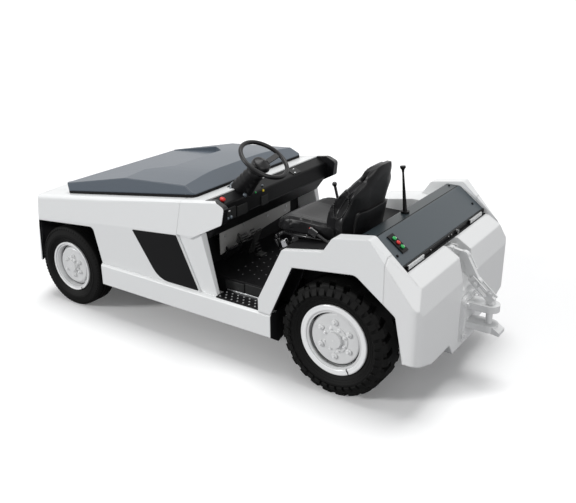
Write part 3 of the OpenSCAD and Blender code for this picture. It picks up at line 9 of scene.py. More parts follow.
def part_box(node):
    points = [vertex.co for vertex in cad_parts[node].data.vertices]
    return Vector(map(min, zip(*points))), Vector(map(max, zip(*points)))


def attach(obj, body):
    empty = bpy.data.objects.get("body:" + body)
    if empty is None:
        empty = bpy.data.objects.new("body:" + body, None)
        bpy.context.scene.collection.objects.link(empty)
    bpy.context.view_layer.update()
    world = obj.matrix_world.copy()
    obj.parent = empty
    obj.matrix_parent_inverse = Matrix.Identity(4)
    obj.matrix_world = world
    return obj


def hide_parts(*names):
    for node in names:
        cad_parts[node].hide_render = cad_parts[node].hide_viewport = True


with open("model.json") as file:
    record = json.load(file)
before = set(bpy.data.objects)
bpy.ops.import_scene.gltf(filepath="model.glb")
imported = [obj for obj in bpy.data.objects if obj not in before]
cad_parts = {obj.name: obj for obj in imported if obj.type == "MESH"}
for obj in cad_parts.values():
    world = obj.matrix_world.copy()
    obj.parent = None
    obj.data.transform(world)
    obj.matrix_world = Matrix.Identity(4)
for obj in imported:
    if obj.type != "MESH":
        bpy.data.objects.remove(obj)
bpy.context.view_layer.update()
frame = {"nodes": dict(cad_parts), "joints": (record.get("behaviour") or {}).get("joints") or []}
nodes = frame["nodes"]
joint_place = {j["name"]: Vector(j["pos_m"]) for j in frame["joints"] if "pos_m" in j}
rear_axle = joint_place["rear_wheel_left_spin"]
front_axle = joint_place["front_wheel_left_spin"]

# Studio: a seamless white floor under an even white sky, with a broad key lamp overhead, a
# harder one from the nose side and a soft low one behind the tail.
floor_half = 60.0
floor_mesh = bpy.data.meshes.new("studio_floor")
bm = bmesh.new()
bmesh.ops.create_grid(bm, x_segments=1, y_segments=1, size=floor_half)
bm.to_mesh(floor_mesh)
bm.free()
studio_floor = bpy.data.objects.new("studio_floor", floor_mesh)
bpy.context.collection.objects.link(studio_floor)

floor_paint = bpy.data.materials.new("studio_white")
floor_paint.use_nodes = True
tree = floor_paint.node_tree
tree.nodes.clear()
floor_out = tree.nodes.new("ShaderNodeOutputMaterial")
diffuse = tree.nodes.new("ShaderNodeBsdfDiffuse")
diffuse.inputs["Color"].default_value = (0.96, 0.96, 0.96, 1)
glow = tree.nodes.new("ShaderNodeEmission")
glow.inputs["Strength"].default_value = 0.06
both = tree.nodes.new("ShaderNodeAddShader")
tree.links.new(diffuse.outputs[0], both.inputs[0])
tree.links.new(glow.outputs[0], both.inputs[1])
bounce = tree.nodes.new("ShaderNodeBsdfDiffuse")
bounce.inputs["Color"].default_value = (0.36, 0.36, 0.37, 1)
path = tree.nodes.new("ShaderNodeLightPath")
pick = tree.nodes.new("ShaderNodeMixShader")
tree.links.new(path.outputs["Is Camera Ray"], pick.inputs["Fac"])
tree.links.new(bounce.outputs[0], pick.inputs[1])
tree.links.new(both.outputs[0], pick.inputs[2])
tree.links.new(pick.outputs[0], floor_out.inputs["Surface"])
floor_mesh.materials.append(floor_paint)

sky = bpy.data.worlds.new("studio_sky")
sky.use_nodes = True
tree = sky.node_tree
tree.nodes.clear()
sky_out = tree.nodes.new("ShaderNodeOutputWorld")
seen = tree.nodes.new("ShaderNodeBackground")
seen.inputs["Color"].default_value = (1, 1, 1, 1)
seen.inputs["Strength"].default_value = 1.0
fill = tree.nodes.new("ShaderNodeBackground")
fill.inputs["Color"].default_value = (0.97, 0.985, 1, 1)
fill.inputs["Strength"].default_value = 0.30
path = tree.nodes.new("ShaderNodeLightPath")
camera_or_gloss = tree.nodes.new("ShaderNodeMath")
camera_or_gloss.operation = "MAXIMUM"
or_through = tree.nodes.new("ShaderNodeMath")
or_through.operation = "MAXIMUM"
pick = tree.nodes.new("ShaderNodeMixShader")
tree.links.new(path.outputs["Is Camera Ray"], camera_or_gloss.inputs[0])
tree.links.new(path.outputs["Is Glossy Ray"], camera_or_gloss.inputs[1])
tree.links.new(camera_or_gloss.outputs[0], or_through.inputs[0])
tree.links.new(path.outputs["Is Transmission Ray"], or_through.inputs[1])
tree.links.new(or_through.outputs[0], pick.inputs["Fac"])
tree.links.new(fill.outputs[0], pick.inputs[1])
tree.links.new(seen.outputs[0], pick.inputs[2])
tree.links.new(pick.outputs[0], sky_out.inputs["Surface"])
bpy.context.scene.world = sky

for name, energy, spread, towards in (
        ("key_lamp", 1.95, 36, (-0.16, -0.06, 0.97)),
        ("side_lamp", 1.75, 12, (0.70, -0.62, 0.36)),
        ("rear_lamp", 1.05, 40, (0.34, 0.90, 0.20))):
    lamp = bpy.data.objects.new(name, bpy.data.lights.new(name, "SUN"))
    lamp.data.energy = energy
    lamp.data.angle = math.radians(spread)
    lamp.rotation_mode = "QUATERNION"
    lamp.rotation_quaternion = Vector(towards).to_track_quat("Z", "Y")
    bpy.context.collection.objects.link(lamp)

# Camera: where the photographer stood, behind the tractor's left rear corner and above head
# height, with a normal lens.
photo_width_px = 576
focal_px = 741.4
from_axle = Vector((3.9452, 1.9441, 2.4403))
yaw, pitch, roll = math.radians(34.5), math.radians(-21.8), math.radians(-0.5)
aim = Vector((-math.cos(yaw) * math.cos(pitch), -math.sin(yaw) * math.cos(pitch), math.sin(pitch)))
level = aim.cross(Vector((0, 0, 1))).normalized()
upright = level.cross(aim)
right = level * math.cos(roll) + upright * math.sin(roll)
above = upright * math.cos(roll) - level * math.sin(roll)
camera = bpy.data.objects.new("camera", bpy.data.cameras.new("camera"))
camera.data.sensor_width = 36
camera.data.lens = focal_px / photo_width_px * camera.data.sensor_width
camera.matrix_world = Matrix((
    (right.x, above.x, -aim.x, from_axle.x),
    (right.y, above.y, -aim.y, from_axle.y + rear_axle.y),
    (right.z, above.z, -aim.z, from_axle.z),
    (0, 0, 0, 1)))
bpy.context.collection.objects.link(camera)
bpy.context.scene.camera = camera
bpy.context.scene.view_settings.view_transform = "Standard"


# Body sheet metal: nose, sides, cowl, sills and fenders, folded steel sprayed gloss white. Faces that
# look down or at a wheel, and the fender's inner walls by the wheels, are black as painted shade, and the
# cowl's cut edges carry black edging.
def finish_of(name, colour, roughness, metallic=0.0, specular=0.5, coat=0.0, coat_rough=0.08, edge=0.0):
    """A plain shop finish; edge is the small radius that the brake or mould leaves on corners."""
    material = bpy.data.materials.new(name)
    material.use_nodes = True
    shader = material.node_tree.nodes["Principled BSDF"]
    shader.inputs["Base Color"].default_value = (*colour, 1)
    shader.inputs["Roughness"].default_value = roughness
    shader.inputs["Metallic"].default_value = metallic
    shader.inputs["Specular IOR Level"].default_value = specular
    shader.inputs["Coat Weight"].default_value = coat
    shader.inputs["Coat Roughness"].default_value = coat_rough
    if edge:
        rounding = material.node_tree.nodes.new("ShaderNodeBevel")
        rounding.samples = 6
        rounding.inputs["Radius"].default_value = edge
        material.node_tree.links.new(rounding.outputs["Normal"], shader.inputs["Normal"])
    return material


def paint(material, *names):
    """Puts one finish on CAD nodes."""
    for name in names:
        nodes[name].data.materials.clear()
        nodes[name].data.materials.append(material)


def calc(material, operation, *parts):
    """Adds a maths node on numbers and sockets and gives its result."""
    node = material.node_tree.nodes.new("ShaderNodeMath")
    node.operation = operation
    for slot, part in zip(node.inputs, parts):
        if isinstance(part, float):
            slot.default_value = part
        else:
            material.node_tree.links.new(part, slot)
    return node.outputs[0]


def surface_of(material):
    """The place of a surface point and the way it faces, as separate coordinates."""
    tree = material.node_tree
    place = tree.nodes.new("ShaderNodeTexCoord")
    spot = tree.nodes.new("ShaderNodeSeparateXYZ")
    facing = tree.nodes.new("ShaderNodeSeparateXYZ")
    tree.links.new(place.outputs["Object"], spot.inputs[0])
    tree.links.new(place.outputs["Normal"], facing.inputs[0])
    return spot.outputs, facing.outputs


def second_colour(material, mask, colour):
    """Lays a second colour over a finish where the mask is 1."""
    shader = material.node_tree.nodes["Principled BSDF"]
    mix = material.node_tree.nodes.new("ShaderNodeMix")
    mix.data_type = "RGBA"
    mix.inputs[6].default_value = shader.inputs["Base Color"].default_value
    mix.inputs[7].default_value = (*colour, 1)
    material.node_tree.links.new(mask, mix.inputs[0])
    material.node_tree.links.new(mix.outputs[2], shader.inputs["Base Color"])


body_white = (0.78, 0.79, 0.79)
arch_shade_black = (0.006, 0.006, 0.007)
arch_reach = 0.75
fender_wall = 0.640
white_paint = finish_of("white_paint", body_white, 0.30, coat=0.25, edge=0.010)
spot, facing = surface_of(white_paint)
# Painted shade: black on faces that look down, on faces towards a wheel near its arch, and on the fender's
# inner walls there.
painted_shade = calc(white_paint, "LESS_THAN", facing["Z"], -0.6)
for axle in (front_axle, rear_axle):
    back = calc(white_paint, "SUBTRACT", spot["Y"], axle.y)
    up = calc(white_paint, "SUBTRACT", spot["Z"], axle.z)
    away = calc(white_paint, "SQRT", calc(white_paint, "ADD", calc(white_paint, "MULTIPLY", back, back),
                                          calc(white_paint, "MULTIPLY", up, up)))
    outward = calc(white_paint, "ADD", calc(white_paint, "MULTIPLY", facing["Y"], back),
                   calc(white_paint, "MULTIPLY", facing["Z"], up))
    at_wheel = calc(white_paint, "LESS_THAN", calc(
        white_paint, "ADD", outward, calc(white_paint, "MULTIPLY", away, 0.3)), 0.0)
    near = calc(white_paint, "LESS_THAN", away, arch_reach)
    painted_shade = calc(white_paint, "MAXIMUM", painted_shade, calc(white_paint, "MULTIPLY", at_wheel, near))
side_of = calc(white_paint, "SIGN", spot["X"])
walled = calc(white_paint, "MULTIPLY", calc(
    white_paint, "GREATER_THAN", calc(white_paint, "MULTIPLY", side_of, facing["X"]), 0.5),
    calc(white_paint, "LESS_THAN", calc(white_paint, "ABSOLUTE", spot["X"]), fender_wall))
painted_shade = calc(white_paint, "MAXIMUM", painted_shade, calc(white_paint, "MULTIPLY", walled, near))
second_colour(white_paint, painted_shade, arch_shade_black)
paint(white_paint, "nose_panel", "side_panels", "sills", "fenders", "cowl_top")
cheek_foot = 0.82
cheek_edge = rear_axle.y - 0.932
cowl_paint = finish_of("cowl_paint", body_white, 0.30, coat=0.25, edge=0.006)
spot, facing = surface_of(cowl_paint)
inner = calc(cowl_paint, "LESS_THAN", calc(
    cowl_paint, "MULTIPLY", calc(cowl_paint, "SIGN", spot["X"]), facing["X"]), 0.5)
cheek = calc(cowl_paint, "MULTIPLY", calc(cowl_paint, "GREATER_THAN", spot["Z"], cheek_foot),
             calc(cowl_paint, "GREATER_THAN", spot["Y"], cheek_edge))
second_colour(cowl_paint, calc(cowl_paint, "MULTIPLY", inner, cheek), arch_shade_black)
paint(cowl_paint, "cowl_panels")

# Hood: one moulded lid in satin slate blue under clear lacquer, on a rubber seal. It tilts forward
# over the battery.
slate = (0.040, 0.058, 0.080)
slate_paint = finish_of("slate_paint", slate, 0.42, specular=0.5, coat=0.35, coat_rough=0.2, edge=0.010)
paint(slate_paint, "hood")
seal_rubber = finish_of("seal_rubber", (0.004, 0.004, 0.0045), 0.7, specular=0.15)
paint(seal_rubber, "hood_seal")

# Running gear: frame, axles, springs and steering links in dark chassis paint, with the battery and
# the motor between them and steel guards behind the steps, whose black over the sills' rear ends is painted
# shade.
chassis_paint = finish_of("chassis_paint", (0.006, 0.006, 0.0065), 0.55, specular=0.2)
# The mud plates take the chassis black as painted shade on the sills' rear end faces, by the rear wheels.
paint(chassis_paint, "frame", "battery", "drive_motor", "front_axle", "front_springs", "rear_axle",
      "rear_springs", "knuckle_left", "knuckle_right", "tie_rod", "bulkhead", "mud_plates")

# Floor and steps: black rubber-coated plate with rows of studs for grip, bright on the steps and darker
# on the floor as painted shade, edged with a steel strip along each step. A rubber flap closes the floor
# against the seat deck.
black_plastic = finish_of("black_plastic", (0.004, 0.004, 0.0045), 0.45, specular=0.16, edge=0.006)
paint(black_plastic, "side_inlays", "floor_pan", "step_plates", "seat_deck")


def at(x, back, z):
    """A place in the frame, from metres behind the rear axle."""
    return Vector((x, rear_axle.y + back, z))


def add_piece(name, bm, material, body, smooth=False):
    """Makes a finished piece of a bmesh, in place in the frame, that moves with a CAD body."""
    bmesh.ops.recalc_face_normals(bm, faces=bm.faces)
    mesh = bpy.data.meshes.new(name)
    bm.to_mesh(mesh)
    bm.free()
    mesh.materials.append(material)
    for polygon in mesh.polygons:
        polygon.use_smooth = smooth
    piece = bpy.data.objects.new(name, mesh)
    bpy.context.collection.objects.link(piece)
    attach(piece, body)
    return piece


def rod(bm, start, end, radius, tip=None, sides=16):
    """Adds a round bar between two places, tapered if its tip has another radius."""
    along = end - start
    turn = along.to_track_quat("Z", "Y").to_matrix().to_4x4()
    bmesh.ops.create_cone(bm, cap_ends=True, segments=sides, radius1=radius, depth=along.length,
                          radius2=radius if tip is None else tip,
                          matrix=Matrix.Translation((start + end) / 2) @ turn)


def slab(bm, middle, size, turn=0.0, edge=0.0):
    """Adds a block with broken edges, tipped about the cross axis by turn degrees."""
    made = bmesh.ops.create_cube(bm, size=1, matrix=Matrix.Translation(middle) @ Matrix.Rotation(
        math.radians(turn), 4, "X") @ Matrix.Diagonal((*size, 1)))
    if edge:
        edges = list({e for v in made["verts"] for e in v.link_edges})
        bmesh.ops.bevel(bm, geom=edges, offset=edge, affect="EDGES", segments=2, profile=0.5, material=-1)


upward = Vector((0, 0, 1))
step_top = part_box("step_plates")[1].z
floor_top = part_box("floor_pan")[1].z
stud_steel = finish_of("stud_steel", (0.55, 0.56, 0.57), 0.3, metallic=0.8)
step_pitch = 0.046
studs = bmesh.new()
for row in range(7):
    for place in range(3):
        back = -0.842 + step_pitch * row + step_pitch / 2 * (place % 2)
        for side in (-1, 1):
            foot = at(side * (0.590 + 0.034 * place), back, step_top)
            rod(studs, foot, foot + upward * 0.0022, 0.0062, 0.0040, 12)
add_piece("step_studs", studs, stud_steel, "tractor")
# The floor's studs are a darker copy of the stud steel: painted shade of the footwell.
footwell_shade_steel = finish_of("footwell_shade_steel", (0.16, 0.16, 0.165), 0.4, metallic=0.6)
floor_pitch = 0.078
studs = bmesh.new()
for row in range(6):
    for place in range(11):
        foot = at(-0.36 + floor_pitch * place + floor_pitch / 2 * (row % 2), -0.878 + 0.066 * row, floor_top)
        rod(studs, foot, foot + upward * 0.0020, 0.0058, 0.0038, 12)
add_piece("floor_studs", studs, footwell_shade_steel, "tractor")
edging = bmesh.new()
for side in (-1, 1):
    slab(edging, at(side * 0.559, -0.70, step_top + 0.004), (0.005, 0.325, 0.008), edge=0.0015)
add_piece("step_edging", edging, stud_steel, "tractor")
riser = bmesh.new()
for side in (-1, 1):
    slab(riser, at(side * 0.558, -0.625, 0.470), (0.006, 0.180, 0.066), edge=0.002)
    slab(riser, at(side * 0.558, -0.800, 0.466), (0.006, 0.150, 0.058), edge=0.002)
riser_grey = finish_of("riser_grey", (0.013, 0.0135, 0.0135), 0.5, specular=0.3)
add_piece("step_risers", riser, riser_grey, "tractor")
flap = bmesh.new()
slab(flap, at(0, -0.432, 0.505), (0.80, 0.008, 0.052), edge=0.002)
add_piece("floor_flap", flap, riser_grey, "tractor")

# Dash: a folded black box across the cowl with the driver's switches and lamps on its near end, and
# a bare steel kick panel bolted below it.
dash_black = finish_of("dash_black", (0.003, 0.003, 0.0034), 0.40, specular=0.16, edge=0.004)
paint(dash_black, "dashboard")
kick_steel = finish_of("kick_steel", (0.36, 0.355, 0.345), 0.45, metallic=0.2)
paint(kick_steel, "kick_panel")


def turned(bm, foot, axis, profile, steps=40):
    """Spins a profile of (height, radius) pairs about an axis through foot."""
    axis = axis.normalized()
    side = axis.orthogonal().normalized()
    points = [bm.verts.new(foot + axis * height + side * radius) for height, radius in profile]
    lines = [bm.edges.new(pair) for pair in zip(points, points[1:])]
    bmesh.ops.spin(bm, geom=points + lines, cent=foot, axis=axis, angle=2 * math.pi, steps=steps,
                   use_merge=True)
    bmesh.ops.remove_doubles(bm, verts=bm.verts, dist=1e-5)


dash_out = Vector((0, 0.38, 0.93)).normalized()
rearward = Vector((0, 1, 0))
signal_red = finish_of("signal_red", (0.62, 0.015, 0.012), 0.35)
signal_green = finish_of("signal_green", (0.010, 0.36, 0.075), 0.35)
signal_yellow = finish_of("signal_yellow", (0.80, 0.62, 0.010), 0.35)
mark_white = finish_of("mark_white", (0.80, 0.80, 0.80), 0.4)
knob_grey = finish_of("knob_grey", (0.10, 0.12, 0.14), 0.3, specular=0.6)
button = bmesh.new()
turned(button, at(0.544, -0.888, 1.022), dash_out, [
    (0.0, 0.0), (0.0, 0.013), (0.008, 0.013), (0.010, 0.019), (0.017, 0.0175), (0.021, 0.010), (0.022, 0.0)])
add_piece("stop_button", button, signal_red, "tractor", smooth=True)
jewel = bmesh.new()
rod(jewel, at(0.243, -0.858, 1.000), at(0.243, -0.849, 1.006), 0.0070, 0.0050)
add_piece("lamp_green", jewel, signal_green, "tractor")
jewel = bmesh.new()
rod(jewel, at(0.161, -0.858, 0.994), at(0.161, -0.848, 0.997), 0.0100, 0.0075)
add_piece("lamp_yellow", jewel, signal_yellow, "tractor")
marks = bmesh.new()
slab(marks, at(0.532, -0.843, 0.960), (0.016, 0.002, 0.007))
slab(marks, at(0.560, -0.843, 0.956), (0.018, 0.002, 0.008))
add_piece("switch_marks", marks, mark_white, "tractor")
knobs = bmesh.new()
for place, out, size in (
        (at(0.349, -0.862, 1.006), dash_out, 0.014), (at(0.139, -0.875, 1.017), dash_out, 0.008),
        (at(0.526, -0.842, 0.920), rearward, 0.011), (at(0.552, -0.842, 0.918), rearward, 0.008)):
    turned(knobs, place, out, [
        (0.0, 0.0), (0.0, size), (size, size * 0.9), (size * 1.3, size * 0.6), (size * 1.35, 0.0)])
add_piece("dash_knobs", knobs, knob_grey, "tractor", smooth=True)
boxes = bmesh.new()
slab(boxes, at(0.530, -0.848, 0.938), (0.130, 0.010, 0.076), edge=0.003)
slab(boxes, at(0.150, -0.850, 0.928), (0.076, 0.006, 0.066), edge=0.002)
slab(boxes, at(-0.260, -0.884, 1.024), (0.090, 0.060, 0.006), turn=-22.5, edge=0.002)
slab(boxes, at(0.395, -0.849, 0.930), (0.105, 0.008, 0.070), edge=0.003)
add_piece("dash_boxes", boxes, riser_grey, "tractor")
line = bmesh.new()
slab(line, at(-0.15, -0.8505, 0.905), (0.92, 0.003, 0.004), edge=0.001)
add_piece("dash_fold", line, riser_grey, "tractor")
kick_low, kick_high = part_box("kick_panel")
flange = bmesh.new()
slab(flange, Vector(((kick_low.x + kick_high.x) / 2, kick_high.y - 0.002, kick_low.z + 0.010)),
     (kick_high.x - kick_low.x, 0.003, 0.024))
for vertex in flange.verts:
    if vertex.co.z < kick_low.z:
        vertex.co.z -= 0.075 * (vertex.co.x - kick_low.x) / (kick_high.x - kick_low.x)
add_piece("kick_flange", flange, kick_steel, "tractor")
bolts = bmesh.new()
for x, z in ((-0.076, 0.726), (-0.308, 0.733), (-0.291, 0.706), (0.20, 0.742), (0.40, 0.722)):
    rod(bolts, at(x, -0.996, z), at(x, -0.990, z), 0.010, 0.008, 6)
for x, back, z in ((-0.273, -0.902, 1.032), (-0.245, -0.869, 1.018)):
    rod(bolts, at(x, back, z), at(x, back, z) + dash_out * 0.005, 0.007, 0.005, 12)
add_piece("dash_bolts", bolts, stud_steel, "tractor")

# Steering: a raked column in a fat folded rubber boot, clipped at its foot, and a thin two-spoke wheel
# with a domed hub, moulded in black plastic over steel.
wheel_black = finish_of("wheel_black", (0.006, 0.006, 0.0065), 0.36, specular=0.3)
paint(wheel_black, "steering_column", "steering_wheel")
boot_foot, boot_head = at(0.300, -0.985, 0.970), at(0.300, -0.795, 1.172)
boot_long = (boot_head - boot_foot).length
boot_folds = 6
boot = bmesh.new()
profile = [(0.0, 0.0), (0.0, 0.078), (0.022, 0.076)]
for fold in range(boot_folds):
    share = (fold + 0.5) / boot_folds
    middle = 0.030 + (boot_long - 0.045) * share
    profile += [(middle - 0.009, 0.062 - 0.010 * share), (middle + 0.009, 0.073 - 0.013 * share)]
profile += [(boot_long - 0.010, 0.055), (boot_long, 0.050), (boot_long, 0.0)]
turned(boot, boot_foot, boot_head - boot_foot, profile)
boot_rubber = finish_of("boot_rubber", (0.004, 0.004, 0.0045), 0.5, specular=0.2)
add_piece("steering_boot", boot, boot_rubber, "tractor", smooth=True)
collar = bmesh.new()
turned(collar, boot_foot, boot_head - boot_foot, [
    (0.060, 0.066), (0.062, 0.074), (0.067, 0.074), (0.069, 0.066)])
add_piece("boot_clip", collar, knob_grey, "tractor", smooth=True)

# Pedals: a ribbed brake pad on a bent arm and a long hinged treadle for the motor, both steel under
# moulded rubber and hung from the bulkhead.
paint(black_plastic, "pedals")
treadle_x, treadle_lean = 0.128, -23
brake_x, brake_lean = 0.262, -35
pads = bmesh.new()
slab(pads, at(treadle_x, -0.955, 0.606), (0.054, 0.016, 0.200), turn=treadle_lean, edge=0.004)
slab(pads, at(treadle_x, -0.905, 0.518), (0.070, 0.050, 0.016), edge=0.004)
for rib in range(9):
    slab(pads, at(treadle_x, -0.946 + 0.0078 * (rib - 4), 0.610 - 0.0185 * (rib - 4)),
         (0.046, 0.006, 0.006), turn=treadle_lean)
slab(pads, at(brake_x, -0.957, 0.668), (0.076, 0.016, 0.066), turn=brake_lean, edge=0.004)
for rib in range(4):
    slab(pads, at(brake_x, -0.947 + 0.0085 * (rib - 1.5), 0.674 - 0.0120 * (rib - 1.5)),
         (0.066, 0.006, 0.005), turn=brake_lean)
rod(pads, at(brake_x, -0.962, 0.668), at(brake_x, -1.085, 0.735), 0.010)
pad_rubber = finish_of("pad_rubber", (0.045, 0.045, 0.044), 0.5)
add_piece("drive_treadle", pads, pad_rubber, "tractor")

# Seat: moulded foam under black vinyl on a plastic back shell, bolted to the suspension base.
# The cushion drops at its front edge, both pads carry raised side bolsters, and each wing has an oval
# hand grip with a rolled rim.
vinyl = finish_of("seat_vinyl", (0.0045, 0.0045, 0.005), 0.33, specular=0.20)
grain = vinyl.node_tree.nodes.new("ShaderNodeTexVoronoi")
grain.inputs["Scale"].default_value = 420
bump = vinyl.node_tree.nodes.new("ShaderNodeBump")
bump.inputs["Strength"].default_value = 0.10
bump.inputs["Distance"].default_value = 0.0008
on_vinyl = vinyl.node_tree.nodes.new("ShaderNodeTexCoord")
vinyl.node_tree.links.new(on_vinyl.outputs["Object"], grain.inputs["Vector"])
vinyl.node_tree.links.new(grain.outputs["Distance"], bump.inputs["Height"])
vinyl.node_tree.links.new(bump.outputs["Normal"], vinyl.node_tree.nodes["Principled BSDF"].inputs["Normal"])


def stuffed(piece, voxel, pressure, most):
    """Swells a closed pad with cloth pressure, no point by more than most metres."""
    remesh = piece.modifiers.new("weave", "REMESH")
    remesh.mode = "VOXEL"
    remesh.voxel_size = voxel
    depsgraph = bpy.context.evaluated_depsgraph_get()
    woven = bpy.data.meshes.new_from_object(piece.evaluated_get(depsgraph))
    piece.modifiers.clear()
    piece.data = woven
    cloth = piece.modifiers.new("cloth", "CLOTH")
    cloth.settings.use_pressure = True
    cloth.settings.uniform_pressure_force = pressure
    cloth.settings.effector_weights.gravity = 0
    rest = [v.co.copy() for v in piece.data.vertices]
    for step in range(1, 21):
        bpy.context.scene.frame_set(step)
    depsgraph = bpy.context.evaluated_depsgraph_get()
    swollen = bpy.data.meshes.new_from_object(piece.evaluated_get(depsgraph))
    piece.modifiers.clear()
    for vertex, start in zip(swollen.vertices, rest):
        move = vertex.co - start
        if move.length > most:
            vertex.co = start + move * (most / move.length)
    piece.data = swollen
    bpy.context.scene.frame_set(1)
    for polygon in piece.data.polygons:
        polygon.use_smooth = True
    round_off = piece.modifiers.new("round", "SUBSURF")
    round_off.levels = round_off.render_levels = 1


def ease(low, high, value):
    """0 below low, 1 above high, smooth between."""
    share = min(1.0, max(0.0, (value - low) / (high - low)))
    return share * share * (3 - 2 * share)


cushion_low, cushion_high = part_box("seat_cushion")
seat_x = (cushion_low.x + cushion_high.x) / 2
cushion_half = (cushion_high.x - cushion_low.x) / 2 + 0.004
cushion_back = cushion_high.y - 0.004
cushion_front = cushion_low.y - 0.034
cushion_thick = 0.070
bm = bmesh.new()
bmesh.ops.create_cube(bm, size=1)
bmesh.ops.subdivide_edges(bm, edges=bm.edges[:], cuts=13, use_grid_fill=True)
for vertex in bm.verts:
    across, along, up = vertex.co.x * 2, vertex.co.y + 0.5, vertex.co.z + 0.5
    narrow = 1 - 0.06 * ease(0.20, 0.0, along) - 0.03 * ease(0.8, 1.0, along)
    corner = 1 - 0.12 * abs(across) ** 6 * ease(0.30, 0.0, along)
    bolster = 0.020 * ease(0.55, 0.85, abs(across)) * ease(0.05, 0.35, along)
    waterfall = -0.030 * ease(0.22, 0.0, along) ** 1.4
    dish = -0.012 * (1 - across * across) * ease(0.2, 0.6, along)
    vertex.co = Vector((
        seat_x + across * cushion_half * narrow,
        cushion_front + (cushion_back - cushion_front) * (1 - (1 - along) * corner),
        cushion_low.z + 0.004 + cushion_thick * up + (bolster + waterfall + dish) * up))
bmesh.ops.smooth_vert(bm, verts=bm.verts, factor=0.5, use_axis_x=True, use_axis_y=True, use_axis_z=True)
seat_cushion_pad = add_piece("seat_cushion_pad", bm, vinyl, "tractor", smooth=True)
paint(vinyl, "seat_cushion", "seat_back")
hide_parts("seat_cushion")
stuffed(seat_cushion_pad, 0.006, 4.0, 0.008)

back_low, back_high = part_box("seat_back")
back_foot = Vector((seat_x, back_low.y + 0.006, back_low.z))
back_rise = back_high.z - back_low.z
back_lean = math.radians(11.4)


def back_form(across, up, depth):
    """A point of the backrest: across from -1 to 1, up from 0 to 1, depth to the rear in metres."""
    width = (0.240 - 0.014 * ease(0.25, 0.0, up) - 0.098 * ease(0.64, 0.86, up)
             - 0.030 * ease(0.96, 1.06, up))
    deep = 0.128 - 0.95 * depth
    wing = deep * ease(0.40, 1.0, abs(across)) * (1 - 0.92 * ease(0.45, 0.92, up)) * ease(-0.25, 0.30, up)
    crown = 0.020 * (1 - across * across) * ease(0.70, 0.95, up)
    rise = back_rise * up - 0.030 * abs(across) ** 3 * ease(0.8, 1.0, up)
    return back_foot + Vector((
        across * width,
        depth - wing + crown + rise * math.sin(back_lean),
        rise * math.cos(back_lean)))


def back_slab(cuts, half, low, high, front, rear):
    """A closed slab that follows the backrest's form between two heights and two depths."""
    form = bmesh.new()
    bmesh.ops.create_cube(form, size=1)
    bmesh.ops.subdivide_edges(form, edges=form.edges[:], cuts=cuts, use_grid_fill=True)
    middle = (front + rear) / 2
    for vertex in form.verts:
        across, deep, up = vertex.co.x * 2, vertex.co.y + 0.5, vertex.co.z + 0.5
        height = low + (high - low) * up
        thin = 1 - 0.35 * ease(0.75, 1.0, height) - 0.45 * abs(across) ** 8
        grip = 0.0
        if abs(across) > 0.9:
            grip = max(0.0, 1 - ((height - 0.56) / 0.20) ** 2 - ((deep - 0.55) / 0.62) ** 2)
        vertex.co = back_form(across * half * (1 - 0.13 * grip ** 0.5), height,
                              middle + (front - middle + (rear - front) * deep) * thin)
    return form


pad_form = back_slab(15, 0.97, 0.03, 1.035, 0.0, 0.062)
seat_back_pad = add_piece("seat_back_pad", pad_form, vinyl, "tractor", smooth=True)
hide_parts("seat_back")
stuffed(seat_back_pad, 0.006, 4.0, 0.008)

shell_plastic = finish_of("seat_shell", (0.006, 0.006, 0.0064), 0.34, specular=0.3)
shell = back_slab(15, 1.0, 0.0, 1.045, 0.040, 0.084)
seat_back_shell = add_piece("seat_back_shell", shell, shell_plastic, "tractor", smooth=True)
pocket = back_slab(8, 0.74, 0.02, 0.43, 0.078, 0.100)
seat_back_pocket = add_piece("seat_back_pocket", pocket, shell_plastic, "tractor", smooth=True)
for piece in (seat_back_shell, seat_back_pocket):
    soften = piece.modifiers.new("moulding", "SUBSURF")
    soften.levels = soften.render_levels = 1

grip_tall, grip_wide, grip_lean = 0.078, 0.042, 0.30
rim_radius, rim_steps = 0.0055, 36
grip_rims = bmesh.new()
bpy.context.view_layer.update()
for side in (-1, 1):
    loop = []
    for step in range(rim_steps):
        turn = 2 * math.pi * step / rim_steps
        along, cross = grip_tall * math.sin(turn), grip_wide * math.cos(turn)
        beside = at(seat_x + side * 0.5, -0.050 + cross + along * grip_lean, 1.135 + along - cross * grip_lean)
        hits = [piece.ray_cast(beside, Vector((-side, 0, 0))) for piece in (seat_back_pad, seat_back_shell)]
        met = [hit[1] for hit in hits if hit[0]]
        if met:
            loop.append(max(met, key=lambda spot: spot.x * side))
    for start, end in zip(loop, loop[1:] + loop[:1]):
        rod(grip_rims, start, end, rim_radius, sides=10)
        bmesh.ops.create_uvsphere(grip_rims, u_segments=10, v_segments=6, radius=rim_radius,
                                  matrix=Matrix.Translation(start))
add_piece("seat_grip_rims", grip_rims, shell_plastic, "tractor", smooth=True)

# Seat fittings: a bent tube frame under the cushion's edge, the slide and the suspension box below,
# the belt buckle at the side and a bright hinge bracket at the front.
tube_black = finish_of("tube_black", (0.007, 0.007, 0.0075), 0.2, specular=0.55)
tube_radius = 0.008
tube = bmesh.new()
for inset in (0.0, 0.030):
    bends = [at(x - inset, back, z) for x, back, z in (
        (0.548, -0.085, 0.918), (0.548, -0.425, 0.905), (0.545, -0.470, 0.885),
        (0.530, -0.492, 0.848), (0.490, -0.494, 0.770), (0.455, -0.445, 0.752))]
    for start, end in zip(bends, bends[1:]):
        rod(tube, start, end, tube_radius)
    for bend in bends[1:-1]:
        bmesh.ops.create_uvsphere(tube, u_segments=16, v_segments=8, radius=tube_radius,
                                  matrix=Matrix.Translation(bend))
add_piece("seat_tube", tube, tube_black, "tractor", smooth=True)
slides = bmesh.new()
slab(slides, at(0.480, -0.250, 0.885), (0.040, 0.300, 0.022), edge=0.004)
slab(slides, at(0.478, -0.240, 0.850), (0.034, 0.320, 0.030), edge=0.004)
